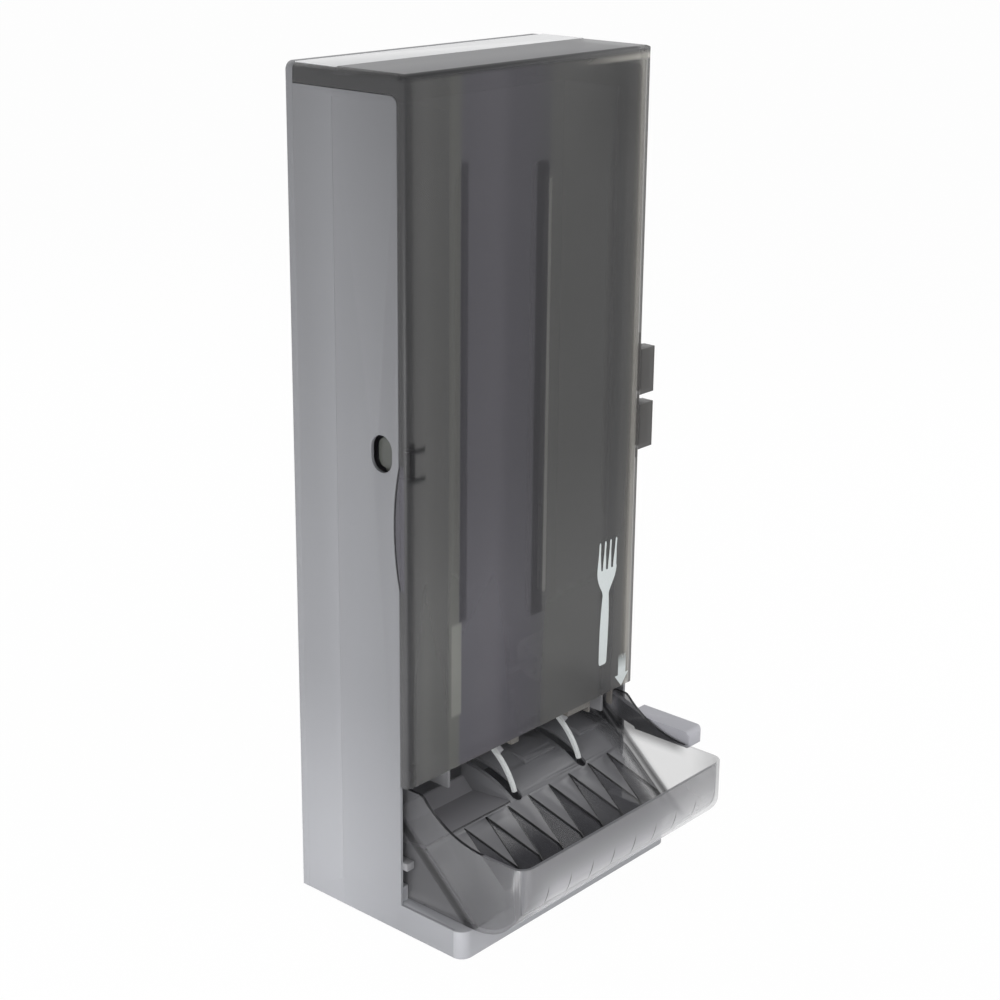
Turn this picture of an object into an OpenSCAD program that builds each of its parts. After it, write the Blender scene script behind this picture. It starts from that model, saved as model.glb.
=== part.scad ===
// Lever-operated cutlery dispenser: a tall two-tone tower with a smoke front cover,
// a stack magazine, two pocket rotors geared to a side lever, and a slide-out catch tray.
// Millimetres. +X is the viewer's right, +Y points back, +Z up. The origin is the centre
// of the base's footprint, on the surface that the dispenser stands on.

/* [Tower] */
// Overall width across the side panels
body_w = 264; // [254:1:300]
// Overall height
body_h = 629; // [600:1:700]
// Depth from the back face to the cover's front face
tower_d = 112.5; // [110:0.5:118]
// Thickness of the side panels and the foot's walls
wall = 2.5; // [2:0.1:3]
// Clearance along the seams between separate shells
seam = 0.4; // [0.3:0.05:0.6]
// Radius of a side panel's screw bosses
boss_r = 4.5; // [4:0.1:5.5]
// Length of a side panel's screw bosses
boss_l = 18; // [12:0.5:22]
// Width of the parting line's groove in a side panel
groove_w = 0.6; // [0.3:0.1:1]
// Distance of the parting line's groove from the panel's rear edge
groove_set = 38.5; // [30:0.5:50]

/* [Back plate and roof] */
// Thickness of the back plate
back_t = 3; // [2.5:0.1:4]
// Depth of the back plate's edge rim, its thickness included
rim_d = 6.5; // [5.5:0.1:9]
// Radius of the back plate's upper corners
back_corner_r = 6; // [3:0.5:10]
// Depth of the roof panel in front of the back plate's rim
roof_d = 40; // [30:0.5:50]
// Thickness of the roof panel
roof_t = 3; // [2:0.1:4]
// Depth of the ledge under the cover's top wall
roof_ledge_d = 6; // [4:0.5:10]
// Radius of the wall-fixing holes
fix_hole_r = 2.75; // [2:0.05:4]
// Width between the wall-fixing holes
fix_w = 236; // [230:1:240]
// Height between the wall-fixing holes
fix_h = 360; // [300:1:400]
// Height of the lower wall-fixing holes above the floor
fix_z = 200; // [190:1:220]

/* [Foot] */
// Depth of the foot, front to back
foot_d = 166.5; // [160:0.5:180]
// Height of the foot's deck above the floor
foot_h = 22; // [20:0.5:28]
// Plan radius of the foot's front left corner
foot_r = 9; // [6:0.5:14]
// Plan radius of the foot's front right corner
foot_inner_r = 10; // [6:0.5:14]
// Set-back of the foot's right side, where the lever comes down
foot_inset = 20; // [16:0.5:24]
// Thickness of the deck
deck_t = 2.5; // [2:0.1:4]
// Thickness of the ribs under the deck
rib_t = 2; // [1.5:0.1:3]
// Radius of a rubber foot
pad_r = 8; // [6:0.5:10]
// Thickness of a rubber foot
pad_t = 2.5; // [1.5:0.1:4]
// Height of the tray's runners above the deck
runner_h = 12; // [8:0.5:16]

/* [Cover] */
// Wall thickness of the cover
cover_t = 2.5; // [2:0.1:3]
// Height of the cover's lower edge above the floor
cover_z = 118.4; // [116:0.2:122]
// Depth of the cover's side flanges
flange_d = 7.25; // [6:0.25:9]
// Height of the band along the cover's top
band_h = 14; // [12:0.5:18]
// Outer edge radius of the cover
cover_r = 5; // [4:0.5:6]
// Radius of the inside corner between the band and the side flange
band_corner_r = 6; // [3:0.5:8]
// Height of the finger pull's middle above the floor
pull_z = 316.5; // [300:0.5:330]
// Length of the finger pull's bulge
pull_l = 91; // [70:1:100]
// How far the finger pull bulges past the flange
pull_sag = 5; // [3:0.5:6]
// Width of the middle stack rib
rib_mid_w = 13.7; // [10:0.1:18]
// Depth of the middle stack rib
rib_mid_d = 3; // [2:0.5:4]
// Thickness of the side stack ribs
rib_side_t = 3; // [2:0.5:4]
// Depth of the side stack ribs
rib_side_d = 5; // [3:0.5:6]

/* [Cover hinge] */
// Distance of the hinge axis outside the side panel
hinge_out = 7.5; // [7:0.25:9]
// Distance of the hinge axis behind the cover's front face
hinge_back = 10.25; // [10:0.25:12]
// Height of a hinge knuckle
knuckle_h = 36.5; // [30:0.5:40]
// Height of the upper knuckle's lower face above the floor
knuckle_z = 360; // [356:0.5:366]
// Gap between the two knuckles
knuckle_gap = 8; // [7:0.5:12]
// How far a knuckle stands out from the side panel
knuckle_out = 16; // [15.5:0.25:18]
// Wall thickness of a knuckle
knuckle_t = 2.2; // [1.8:0.1:2.6]
// Radius of the hinge pins
hinge_pin_r = 2; // [1.5:0.1:2.5]
// Radius of the bracket's eyes
eye_r = 4.6; // [4:0.1:4.8]
// Radial running clearance of pins and shafts
run_fit = 0.05; // [0.02:0.01:0.09]
// Thickness of the hinge bracket's plate
bracket_t = 2.2; // [1.8:0.1:3]
// Radius of a small screw's shank
screw_r = 1.6; // [1.3:0.1:2]
// Radius of a small screw's head
screw_head_r = 3.2; // [2.8:0.1:3.6]
// Thickness of a small screw's head
screw_head_t = 1.8; // [1.4:0.1:2.2]

/* [Latch] */
// Distance of the latch hole's middle behind the cover's flange
latch_hole_set = 16.5; // [15.5:0.25:18]
// Height of the latch hole's middle above the floor
latch_z = 368; // [362:0.5:374]
// Width of the latch hole
latch_hole_w = 20; // [16:0.5:22]
// Height of the latch hole
latch_hole_h = 27; // [24:0.5:32]
// Gap between the latch tongue and the side panel's inner face
latch_gap = 1.9; // [1.8:0.1:2.4]
// Thickness of the latch tongue
tongue_t = 2; // [1.6:0.1:2.4]
// Radius of the latch pin
latch_pin_r = 1.5; // [1.2:0.1:2]
// Radius of the latch tongue's hub
latch_hub_r = 3.2; // [2.8:0.1:3.6]
// Thickness of the cover's latch ears
ear_t = 2; // [1.5:0.1:2.5]
// Gap between the cover's latch ears
ear_gap = 18; // [15:0.5:21]

/* [Magazine] */
// Clearance between the left side panel and the magazine's left side
mag_left_gap = 54.5; // [50:0.5:62]
// Clearance between the right side panel and the magazine's right side, for the gears
mag_right_gap = 24.5; // [24:0.25:30]
// Thickness of the magazine's walls and the mechanism frames
mag_t = 2.5; // [2:0.1:3]
// Depth of the magazine's inside
mag_d = 50.5; // [46:0.5:54]
// Distance of the magazine's front edge behind the cover's front face
mag_front_set = 11.25; // [10:0.25:13]
// Height of the magazine's lower edge above the floor
mag_z = 174; // [173:0.5:180]
// Distance of the magazine's upper edge below the top
mag_top_set = 29; // [24:1:40]
// Width of a frame's screw flange
frame_flange_w = 11; // [9:0.5:12]
// Height of the mechanism frames' lower edge above the floor
frame_z = 96; // [94:0.5:98]

/* [Rotors and gears] */
// Distance of the rotor shaft behind the cover's front face
rotor_back = 37.25; // [35:0.25:39]
// Height of the rotor shaft above the floor
rotor_z = 152; // [150:0.5:153]
// Radius of a rotor
rotor_r = 18; // [15:0.5:19]
// Width of a rotor
rotor_w = 24; // [16:1:34]
// Distance between the rotors' middles
rotor_pitch = 96; // [80:1:110]
// Width of a rotor's pocket
pocket_w = 13; // [10:0.5:15]
// Depth of a rotor's pocket
pocket_d = 10; // [7:0.5:11]
// Radius of the rotor shaft
rotor_shaft_r = 3; // [2.5:0.1:4]
// Module of the gears
gear_m = 1; // [0.9:0.05:1.1]
// Teeth on the pinion
pinion_teeth = 18; // [17:1:20]
// Teeth on the whole circle of the sector gear
sector_teeth = 90; // [85:1:94]
// Half angle of the sector gear's toothed arc
sector_half_a = 24; // [22:1:28]
// Thickness of the gears
gear_t = 6; // [4:0.5:6.5]
// Backlash between the meshing teeth
backlash = 0.3; // [0.2:0.02:0.4]
// Angle of the line from the lever shaft up to the rotor shaft
gear_line_a = 134.7; // [132:0.1:137]
// Radius of the lever shaft
lever_shaft_r = 4; // [3:0.1:5]
// Wall thickness of a bushing
bush_t = 1.6; // [1.2:0.1:2]

/* [Lever] */
// Thickness of the lever's arm
arm_t = 5; // [4:0.25:5.5]
// Clearance between the lever's arm and the right side panel
arm_gap = 0.6; // [0.4:0.1:1]
// Width of the lever's paddle
paddle_w = 19; // [14:0.5:22]
// Height of the paddle's top above the floor
paddle_z = 94; // [90:0.5:97]
// Height of the paddle
paddle_h = 13.5; // [12:0.5:18]
// Distance of the paddle's tip in front of the cover's front face
paddle_reach = 65; // [55:0.5:70]
// Length of the paddle's thick part
paddle_l = 56; // [44:0.5:58]
// Corner radius of the paddle
paddle_r = 7; // [4:0.5:8]
// Radius of the lever's hub
hub_r = 11; // [9:0.5:13]
// Mean radius of the return spring
spring_r = 6.4; // [6:0.1:7]
// Wire radius of the return spring
spring_wire_r = 0.8; // [0.6:0.05:1]
// Length of the return spring's coil
spring_l = 14; // [10:0.5:18]

/* [Tray] */
// Clearance between the tray and the lever's arm
tray_arm_gap = 2.4; // [1:0.1:3]
// Wall thickness of the tray
tray_t = 2.5; // [2:0.1:3]
// How far the tray's rim stands out in front of the foot
tray_reach = 47.75; // [44:0.25:50]
// Height of the tray's rim above the floor
tray_rim_z = 85; // [84:0.5:90]
// Gap between the tray and the foot's deck
tray_gap = 0.5; // [0.4:0.1:0.8]
// Radius of the tray's bowed front
tray_bow_r = 46; // [40:0.5:48]
// Plan radius of the tray's front corners
tray_corner_r = 12; // [9:0.5:16]
// Height of the tray's side walls at the back
tray_side_z = 111.5; // [108:0.5:113]
// Radius of the hollow sweep of the side wall's upper edge
sweep_r = 80; // [74:1:84]
// Distance of the sweep's lowest point behind the tray's rim
sweep_set = 39; // [36:0.5:44]
// Radius of the sweep's upper shoulder
shoulder_r = 6; // [3:0.5:8]
// Distance of the tray's rear edge behind the cover's front face
tray_back_set = 46.25; // [44:0.25:49]
// Height of the ramp's crest above the floor
crest_z = 86.3; // [84:0.1:88]
// Slope of the ramp's straight part, in degrees
ramp_a = 41.5; // [40:0.5:43]
// Radius of the ramp's curved upper part
ramp_r = 89; // [84:1:94]
// Number of pleats across the ramp
pleats = 8; // [4:1:9]
// Distance between the pleats
pleat_pitch = 24.4; // [20:0.1:26]
// Distance of the first pleat from the tray's left side
pleat_set = 43; // [34:0.5:44]
// Depth of a pleat
pleat_d = 1; // [0.5:0.1:1.4]
// Distance of the pocket's front edge in front of the tray's rear edge
pocket_front_set = 51; // [48:0.5:54]
// Height of the pocket's floor at its back, above the floor
pocket_floor_z = 66; // [64:0.5:70]
// Distance of the pocket's back edge in front of the tray's rear edge
pocket_back_set = 12; // [10:0.5:16]
// Width of the slots for the guide fingers
slot_w = 10; // [8:0.5:11]
// Distance of the slots' closed ends in front of the tray's rear edge
slot_set = 53; // [51:0.5:56]
// Height of the saddles on the ramp's crest
saddle_h = 3; // [2:0.25:4]
// Radius of the saddles
saddle_r = 40; // [34:1:44]

/* [Guide fingers] */
// Distance of the left guide finger from the magazine's left side
finger_set = 60; // [56:1:64]
// Distance of the right guide finger from the magazine's right side
finger_right_set = 42; // [38:1:46]
// Thickness of a guide finger
finger_t = 3; // [3:0.5:5]
// Radius of a guide finger's upper edge
finger_r = 65; // [64:0.5:66]
// Depth of a guide finger
finger_d = 3; // [3:0.5:5]
// Distance of a finger's arc centre behind the cover's front face
finger_back = 56.95; // [56:0.05:58]
// Height of a finger's arc centre above the floor
finger_z = 52.3; // [51.5:0.1:53]
// Angle of the arc at the finger's tip
finger_tip_a = 160; // [157:1:162]
// Angle of the arc where the finger meets the chute
finger_top_a = 125; // [123:0.5:127]
// Slope length of the chute
chute_l = 58; // [48:0.5:60]
// Thickness of the chute plate
chute_t = 2; // [1.5:0.1:2.5]
// Height of the crossbar's underside above the cover's lower edge
bar_rise = -4.2; // [-5:0.1:-3.5]
// Height of the crossbar
bar_h = 7; // [5:0.5:9]
// Depth of the crossbar
bar_d = 6; // [4:0.5:6.5]

/* [Hidden] */
$fn = 64;

// Directions of the main planes
half_w = body_w / 2;
inner_w = half_w - wall;
back_y = foot_d / 2;
foot_y = -foot_d / 2;
front_y = back_y - tower_d;
seam_y = back_y - rim_d;
plate_y = back_y - back_t;
roof_y = seam_y - roof_d;
edge_y = front_y + flange_d;
panel_y = edge_y + seam;
band_z = body_h - band_h;
foot_x = half_w - foot_inset;
fine = 0.01;
far = 1000;

// Hinge and latch
hinge_x = half_w + hinge_out;
hinge_y = front_y + hinge_back;
knuckle_low_z = knuckle_z - knuckle_gap - knuckle_h;
hinge_zs = [knuckle_low_z, knuckle_z];
latch_y = edge_y + latch_hole_set;
tongue_x = -inner_w + latch_gap;
latch_pin_x = tongue_x + latch_hub_r + tongue_t / 2;
latch_pin_y = front_y + cover_t + latch_hub_r + tongue_t;
ear_z = latch_z - ear_gap / 3;

// Magazine and mechanism
mag_l = -inner_w + mag_left_gap;
mag_r = inner_w - mag_right_gap;
mag_x = (mag_l + mag_r) / 2;
mag_front_y = front_y + mag_front_set;
mag_back_y = mag_front_y + mag_d;
mag_top_z = body_h - mag_top_set;
rotor_y = front_y + rotor_back;
frame_l = mag_l - mag_t;
frame_r = mag_r + mag_t;
pinion_r = gear_m * pinion_teeth / 2;
sector_r = gear_m * sector_teeth / 2;
gear_x = frame_r + bush_t + seam;
gear_dist = pinion_r + sector_r;
lever_y = rotor_y - gear_dist * cos(gear_line_a);
lever_z = rotor_z - gear_dist * sin(gear_line_a);
arm_x = inner_w - arm_gap - arm_t;
hub_x = gear_x + gear_t;
shaft_l_x = mag_r - spring_l - lever_shaft_r;

// Chute and fingers
finger_y = front_y + finger_back;
finger_x = mag_l + finger_set;
finger_pitch = mag_r - finger_right_set - finger_x;
finger_xs = [finger_x, finger_x + finger_pitch];
chute_a = finger_top_a - 90;
chute_y = finger_y + finger_r * cos(finger_top_a);
chute_z = finger_z + finger_r * sin(finger_top_a);

// Tray
tray_half = arm_x - tray_arm_gap;
tray_w = 2 * tray_half;
tray_y = foot_y - tray_reach;
tray_z = foot_h + tray_gap;
tray_back_y = front_y + tray_back_set;
sweep_y = tray_y + sweep_set;
sweep_z = tray_rim_z + sweep_r;
shoulder_z = tray_side_z - shoulder_r;
shoulder_y = sweep_y + sqrt(pow(sweep_r + shoulder_r, 2) - pow(sweep_z - shoulder_z, 2));
sweep_a = atan2(shoulder_z - sweep_z, shoulder_y - sweep_y);
ramp_c_z = crest_z - ramp_r;
ramp_top_y = tray_back_y - ramp_r * sin(ramp_a);
ramp_top_z = ramp_c_z + ramp_r * cos(ramp_a);
ramp_low_z = tray_z + tray_t;
ramp_low_y = ramp_top_y - (ramp_top_z - ramp_low_z) / tan(ramp_a);
ramp_l = (ramp_top_z - ramp_low_z) / sin(ramp_a);
pocket_x = finger_x - slot_w / 2 - 1.6 * tray_t;
pocket_l = pocket_x + tray_half - tray_t;
pocket_y = tray_back_y - pocket_front_set;
pocket_back_y = tray_back_y - pocket_back_set;
steps = 12;

// Colours
light_grey = [0.66, 0.66, 0.68];
pale_grey = [0.82, 0.82, 0.84];
smoke = [0.30, 0.30, 0.29, 0.75];
tray_smoke = [0.42, 0.42, 0.43, 0.8];
lever_grey = [0.68, 0.68, 0.73];
clear_white = [0.88, 0.89, 0.88];
acetal = [0.90, 0.90, 0.86];
steel = [0.72, 0.73, 0.75];
dark_rubber = [0.12, 0.12, 0.12];

// A box from its lowest corner to its highest
module span(low, high) {
    translate(low) cube(high - low);
}

// Extrudes a side view (Y, Z) along X
module along_x(x, l) {
    translate([x, 0, 0]) rotate([90, 0, 90]) linear_extrude(l) children();
}

// Extrudes a front view (X, Z) along Y
module along_y(y, l) {
    translate([0, y + l, 0]) rotate([90, 0, 0]) linear_extrude(l) children();
}

// Extrudes a plan (X, Y) along Z
module along_z(z, l) {
    translate([0, 0, z]) linear_extrude(l) children();
}

module rod_x(x, y, z, r, l) {
    translate([x, y, z]) rotate([0, 90, 0]) cylinder(r = r, h = l);
}

module rod_y(x, y, z, r, l) {
    translate([x, y, z]) rotate([-90, 0, 0]) cylinder(r = r, h = l);
}

// A flat rectangle between two corners
module rect(low, high) {
    translate(low) square(high - low);
}

// A flat rectangle with its own radius at each corner: low left, low right, high right, high left
module rounded_rect(low, high, radii) {
    corners = [low, [high.x, low.y], high, [low.x, high.y]];
    inward = [[1, 1], [-1, 1], [-1, -1], [1, -1]];
    difference() {
        rect(low, high);
        for (i = [0:3])
            if (radii[i] > 0)
                translate(corners[i]) corner_bite(inward[i], radii[i]);
    }
}

// What a round corner of radius r takes off a square one
module corner_bite(way, r) {
    difference() {
        rect([min(-fine, r * way.x), min(-fine, r * way.y)], [max(fine, r * way.x), max(fine, r * way.y)]);
        translate(way * r) circle(r);
    }
}

function arc(c, r, a0, a1, n = steps) =
    [for (i = [0:n]) c + r * [cos(a0 + (a1 - a0) * i / n), sin(a0 + (a1 - a0) * i / n)]];

// Wall and foot shells

module left_side_panel() {
    color(light_grey) difference() {
        union() {
            along_x(-half_w, wall) rounded_rect([panel_y, 0], [seam_y, band_z - seam],
                [0, 0, 0, band_corner_r]);
            span([-half_w, foot_y + foot_r, 0], [-inner_w, panel_y + fine, foot_h]);
            for (z = screw_zs()) panel_boss(-1, z);
        }
        latch_hole();
        pull_shape(seam);
        for (z = screw_zs()) boss_hole(-1, z);
        parting_groove(-half_w);
    }
}

module right_side_panel() {
    color(light_grey) difference() {
        union() {
            along_x(inner_w, wall) rounded_rect([panel_y, 0], [seam_y, band_z - seam],
                [0, 0, 0, band_corner_r]);
            along_y(roof_y, roof_d) rounded_rect([inner_w, band_z - seam - fine], [half_w, body_h],
                [0, 0, wall - 0.5, 0]);
            for (z = screw_zs()) panel_boss(1, z);
        }
        rod_x(inner_w - 1, lever_y, lever_z, lever_shaft_r + run_fit + bush_t, wall + 2);
        for (z = bracket_screw_zs()) rod_x(inner_w - 1, bracket_screw_y(), z, screw_r, wall + 2);
        for (z = screw_zs()) boss_hole(1, z);
        parting_groove(half_w - groove_w / 2);
    }
}

// A fine moulded line that runs up a side panel
module parting_groove(x) {
    span([x - groove_w / 2, seam_y - groove_set, foot_h],
        [x + groove_w / 2 + fine, seam_y - groove_set + groove_w, band_z - band_corner_r]);
}

// The oval hole, round at its top and bottom
module latch_hole() {
    r = latch_hole_w / 2;
    rise = latch_hole_h / 2 - r;
    for (side = [-1, 1]) rod_x(-half_w - 1, latch_y, latch_z + side * rise, r, wall + 2);
    span([-half_w - 1, latch_y - r, latch_z - rise], [-inner_w + 1, latch_y + r, latch_z + rise]);
}

// The finger pull's round bulge behind the cover's left flange
module pull_shape(gap) {
    r = (pow(pull_l / 2, 2) + pow(pull_sag, 2)) / (2 * pull_sag);
    intersection() {
        rod_x(-half_w - 1, edge_y + pull_sag - r, pull_z, r + gap, wall + 2, $fn = 360);
        span([-half_w - 1, edge_y - 1, pull_z - pull_l], [-inner_w + 1, edge_y + 2 * pull_sag, pull_z + pull_l]);
    }
}

// Bosses that take the back plate's screws
boss_x = inner_w - boss_r - seam;
function screw_zs() = [0.095 * body_h, body_h / 2, 0.928 * body_h];

module panel_boss(side, z) {
    rod_y(side * boss_x, plate_y - boss_l, z, boss_r, boss_l);
    span([min(side * boss_x, side * (inner_w + fine)), plate_y - boss_l, z - wall / 2],
        [max(side * boss_x, side * (inner_w + fine)), seam_y, z + wall / 2]);
}

module boss_hole(side, z) {
    rod_y(side * boss_x, plate_y - boss_l + wall, z, screw_r, boss_l);
}

// The foot's plan, drawn in by d on every side
module foot_plan(d) {
    rect([-inner_w + d, foot_y + foot_r], [foot_x - d, panel_y + wall]);
    intersection() {
        translate([-half_w + foot_r, foot_y + foot_r]) circle(foot_r - d);
        rect([d > 0 ? -inner_w + d : -half_w, foot_y], [-half_w + 2 * foot_r, foot_y + foot_r + (d > 0 ? fine : 0)]);
    }
    rect([-half_w + foot_r, foot_y + d], [foot_x - foot_inner_r, foot_y + foot_r + fine]);
    translate([foot_x - foot_inner_r, foot_y + foot_inner_r]) circle(foot_inner_r - d);
    rect([foot_x - foot_inner_r, foot_y + foot_inner_r], [foot_x - d, panel_y + wall]);
    rect([-inner_w + d, panel_y + d], [inner_w - d, plate_y - d]);
}

pad_x = foot_x - 1.75 * pad_r;
pad_ys = [foot_y + 2.75 * pad_r, back_y - 3.25 * pad_r];

module foot_base() {
    color(light_grey) {
        difference() {
            along_z(0, foot_h) foot_plan(0);
            along_z(-fine, foot_h - deck_t) foot_plan(wall);
        }
        for (x = [-pad_x, pad_x], y = pad_ys) translate([x, y, pad_t]) cylinder(r = pad_r + rib_t / 2, h = foot_h - pad_t - fine);
        for (x = [-0.4 * foot_x, 0, 0.4 * foot_x])
            span([x - rib_t / 2, foot_y + wall - fine, 0], [x + rib_t / 2, plate_y - wall + fine, foot_h - fine]);
        for (side = [-1, 1])
            span([min(side * inner_w, side * (tray_half + seam)), panel_y + wall, foot_h - fine],
                [max(side * inner_w, side * (tray_half + seam)), tray_back_y + 2 * runner_h, foot_h + runner_h]);
    }
}

module rubber_feet() {
    color(dark_rubber)
        for (x = [-pad_x, pad_x], y = pad_ys) translate([x, y, 0]) cylinder(r = pad_r, h = pad_t);
}

module back_plate() {
    color(light_grey) difference() {
        along_y(seam_y, rim_d) rounded_rect([-half_w, 0], [half_w, body_h], [0, 0, back_corner_r, back_corner_r]);
        along_y(seam_y - 1, rim_d - back_t + 1) rounded_rect([-inner_w, -1], [inner_w, body_h - wall],
            [0, 0, back_corner_r - wall, back_corner_r - wall]);
        for (x = [-fix_w / 2, fix_w / 2], z = [fix_z, fix_z + fix_h]) rod_y(x, plate_y - 1, z, fix_hole_r, back_t + 2);
        for (side = [-1, 1], z = screw_zs()) {
            rod_y(side * boss_x, plate_y - 1, z, screw_r, back_t + 2);
            rod_y(side * boss_x, back_y - screw_head_t - 0.2, z, screw_head_r + 0.1, screw_head_t + 1);
        }
        for (side = [-1, 1], z = frame_screw_zs()) rod_y(frame_screw_x(side), plate_y - 1, z, screw_r, back_t + 2);
    }
}

module back_plate_screws() {
    color(steel) for (side = [-1, 1], z = screw_zs()) {
        rod_y(side * boss_x, plate_y - boss_l + 6, z, screw_r, boss_l - 6 + back_t - screw_head_t);
        rod_y(side * boss_x, back_y - screw_head_t - 0.2, z, screw_head_r, screw_head_t);
    }
}

module roof_panel() {
    color(pale_grey) {
        span([-inner_w + seam, roof_y, body_h - roof_t], [inner_w, seam_y, body_h]);
        span([-inner_w + cover_t, roof_y - roof_ledge_d, body_h - 2 * roof_t],
            [mag_r, roof_y + roof_ledge_d, body_h - cover_t - seam]);
    }
}

// Cover, hinge and latch

// The cover's outer block, drawn in by d, running on behind and below
module cover_block(d) {
    r = cover_r - d;
    intersection() {
        along_z(cover_z - d, body_h) rounded_rect([-half_w + d, front_y + d], [half_w - d, seam_y], [r, r, 0, 0]);
        along_x(-half_w, body_w) rounded_rect([front_y + d, 0], [seam_y, body_h - d], [0, 0, 0, r]);
        along_y(front_y, tower_d) rounded_rect([-half_w + d, 0], [half_w - d, body_h - d], [0, 0, r, r]);
    }
}

module stack_ribs() {
    y0 = front_y + cover_t - fine;
    h = body_h - cover_z;
    along_y(y0, rib_mid_d) translate([0.064 * half_w, 0]) {
        rect([-rib_mid_w / 2, cover_z + 0.2 * h], [rib_mid_w / 2, cover_z + 0.847 * h]);
        for (z = [cover_z + 0.2 * h, cover_z + 0.847 * h]) translate([0, z]) circle(rib_mid_w / 2);
    }
    along_x(-0.557 * half_w - rib_side_t / 2, rib_side_t) polygon([
        [y0, cover_z + 0.082 * h], [y0 + rib_side_d, cover_z + 0.105 * h],
        [y0 + rib_side_d, cover_z + 0.84 * h], [y0, cover_z + 0.879 * h]
    ]);
    along_x(0.712 * half_w - rib_side_t / 2, rib_side_t) polygon([
        [y0, cover_z + 0.293 * h], [y0 + rib_side_d, cover_z + 0.317 * h],
        [y0 + rib_side_d, cover_z + 0.834 * h], [y0, cover_z + 0.857 * h]
    ]);
}

module corner_gusset() {
    t = cover_t;
    for (a = [-48, 48])
        translate([-half_w + 6 * t, front_y + t - fine, cover_z + 3.6 * t]) rotate([0, a, 0])
            span([-4.4 * t, 0, -t / 4], [4.4 * t, t, t / 4]);
    span([-half_w + 9.6 * t, front_y + t - fine, cover_z], [-half_w + 10.1 * t, front_y + 2 * t, cover_z + 8 * t]);
}

// One hinge knuckle: two eared walls with a pin hole, a front wall and a short outer wall
module knuckle(z) {
    x1 = half_w + knuckle_out;
    lug_r = hinge_out - seam;
    y0 = front_y + cover_t / 2;
    difference() {
        union() {
            span([half_w - cover_t, y0, z], [x1, y0 + knuckle_t, z + knuckle_h]);
            span([x1 - knuckle_t, y0, z], [x1, hinge_y + 0.8 * hinge_pin_r, z + knuckle_h]);
            for (level = [z, z + knuckle_h - knuckle_t]) {
                span([half_w - cover_t, y0, level], [x1, hinge_y, level + knuckle_t]);
                translate([hinge_x, hinge_y, level]) cylinder(r = lug_r, h = knuckle_t);
            }
        }
        translate([hinge_x, hinge_y, z - 1]) cylinder(r = hinge_pin_r + run_fit, h = knuckle_h + 2);
        span([half_w - cover_t - 1, edge_y, z - 1], [half_w + seam, far, z + knuckle_h + 1]);
    }
}

module latch_ears() {
    for (z = [ear_z - ear_gap / 2 - ear_t, ear_z + ear_gap / 2])
        difference() {
            span([-half_w + cover_t - fine, front_y + cover_t - fine, z],
                [latch_pin_x + latch_hub_r + ear_t / 2, latch_pin_y + latch_hub_r, z + ear_t]);
            translate([latch_pin_x, latch_pin_y, z - 1]) cylinder(r = latch_pin_r, h = ear_t + 2);
            span([-half_w - 1, edge_y - ear_t / 2, z - 1], [-inner_w + latch_gap, far, z + ear_t + 1]);
        }
}

module cover() {
    color(smoke) {
        difference() {
            cover_block(0);
            cover_block(cover_t);
            difference() {
                along_x(-half_w - 1, body_w + 2)
                    rounded_rect([edge_y, 0], [far, band_z], [0, 0, 0, band_corner_r + seam]);
                pull_shape(0);
            }
            span([-half_w + cover_t, roof_y - seam, 0], [far, far, far]);
            span([-far, seam_y - seam, 0], [far, far, far]);
        }
        stack_ribs();
        corner_gusset();
        latch_ears();
        for (z = hinge_zs) knuckle(z);
        span([half_w - cover_t, front_y + cover_r, knuckle_low_z - knuckle_gap],
            [half_w + bracket_t, edge_y, knuckle_z + knuckle_h + 1.5 * knuckle_gap]);
    }
}

function bracket_screw_y() = hinge_y + 5 * eye_r;
function bracket_screw_zs() = [for (z = hinge_zs) z + knuckle_h / 2];

module hinge_bracket() {
    plate_x = half_w;
    y0 = hinge_y + hinge_out + seam / 2;
    eye_h = knuckle_h - 2 * knuckle_t - 2 * seam;
    k = bracket_t / 2;
    color(pale_grey) difference() {
        union() {
            span([plate_x, y0, knuckle_low_z - knuckle_gap],
                [plate_x + bracket_t, bracket_screw_y() + 2.2 * screw_head_r, knuckle_z + knuckle_h + 1.5 * knuckle_gap]);
            for (z = hinge_zs) translate([hinge_x, hinge_y, z + knuckle_t + seam]) cylinder(r = eye_r, h = eye_h);
            for (z = hinge_zs) along_z(z + knuckle_t + seam, eye_h) polygon([
                [plate_x + k / 4, hinge_y + hinge_out - 2.25 * k], [hinge_x - k, hinge_y - k],
                [hinge_x + k, hinge_y + k], [plate_x + k, hinge_y + hinge_out + k],
                [plate_x + k / 4, hinge_y + hinge_out + k]
            ]);
        }
        for (z = hinge_zs) translate([hinge_x, hinge_y, z]) cylinder(r = hinge_pin_r, h = knuckle_h);
        for (z = bracket_screw_zs()) rod_x(plate_x - 1, bracket_screw_y(), z, screw_r, bracket_t + 2);
    }
}

module hinge_pin(z) {
    color(steel) translate([hinge_x, hinge_y, z + 0.3]) cylinder(r = hinge_pin_r, h = knuckle_h - 0.6);
}

module hinge_pin_upper() {
    hinge_pin(knuckle_z);
}

module hinge_pin_lower() {
    hinge_pin(knuckle_low_z);
}

module hinge_screws() {
    color(steel) for (z = bracket_screw_zs()) {
        rod_x(inner_w - seam, bracket_screw_y(), z, screw_r, wall + bracket_t + screw_head_t);
        rod_x(half_w + bracket_t, bracket_screw_y(), z, screw_head_r, screw_head_t);
    }
}

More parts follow.
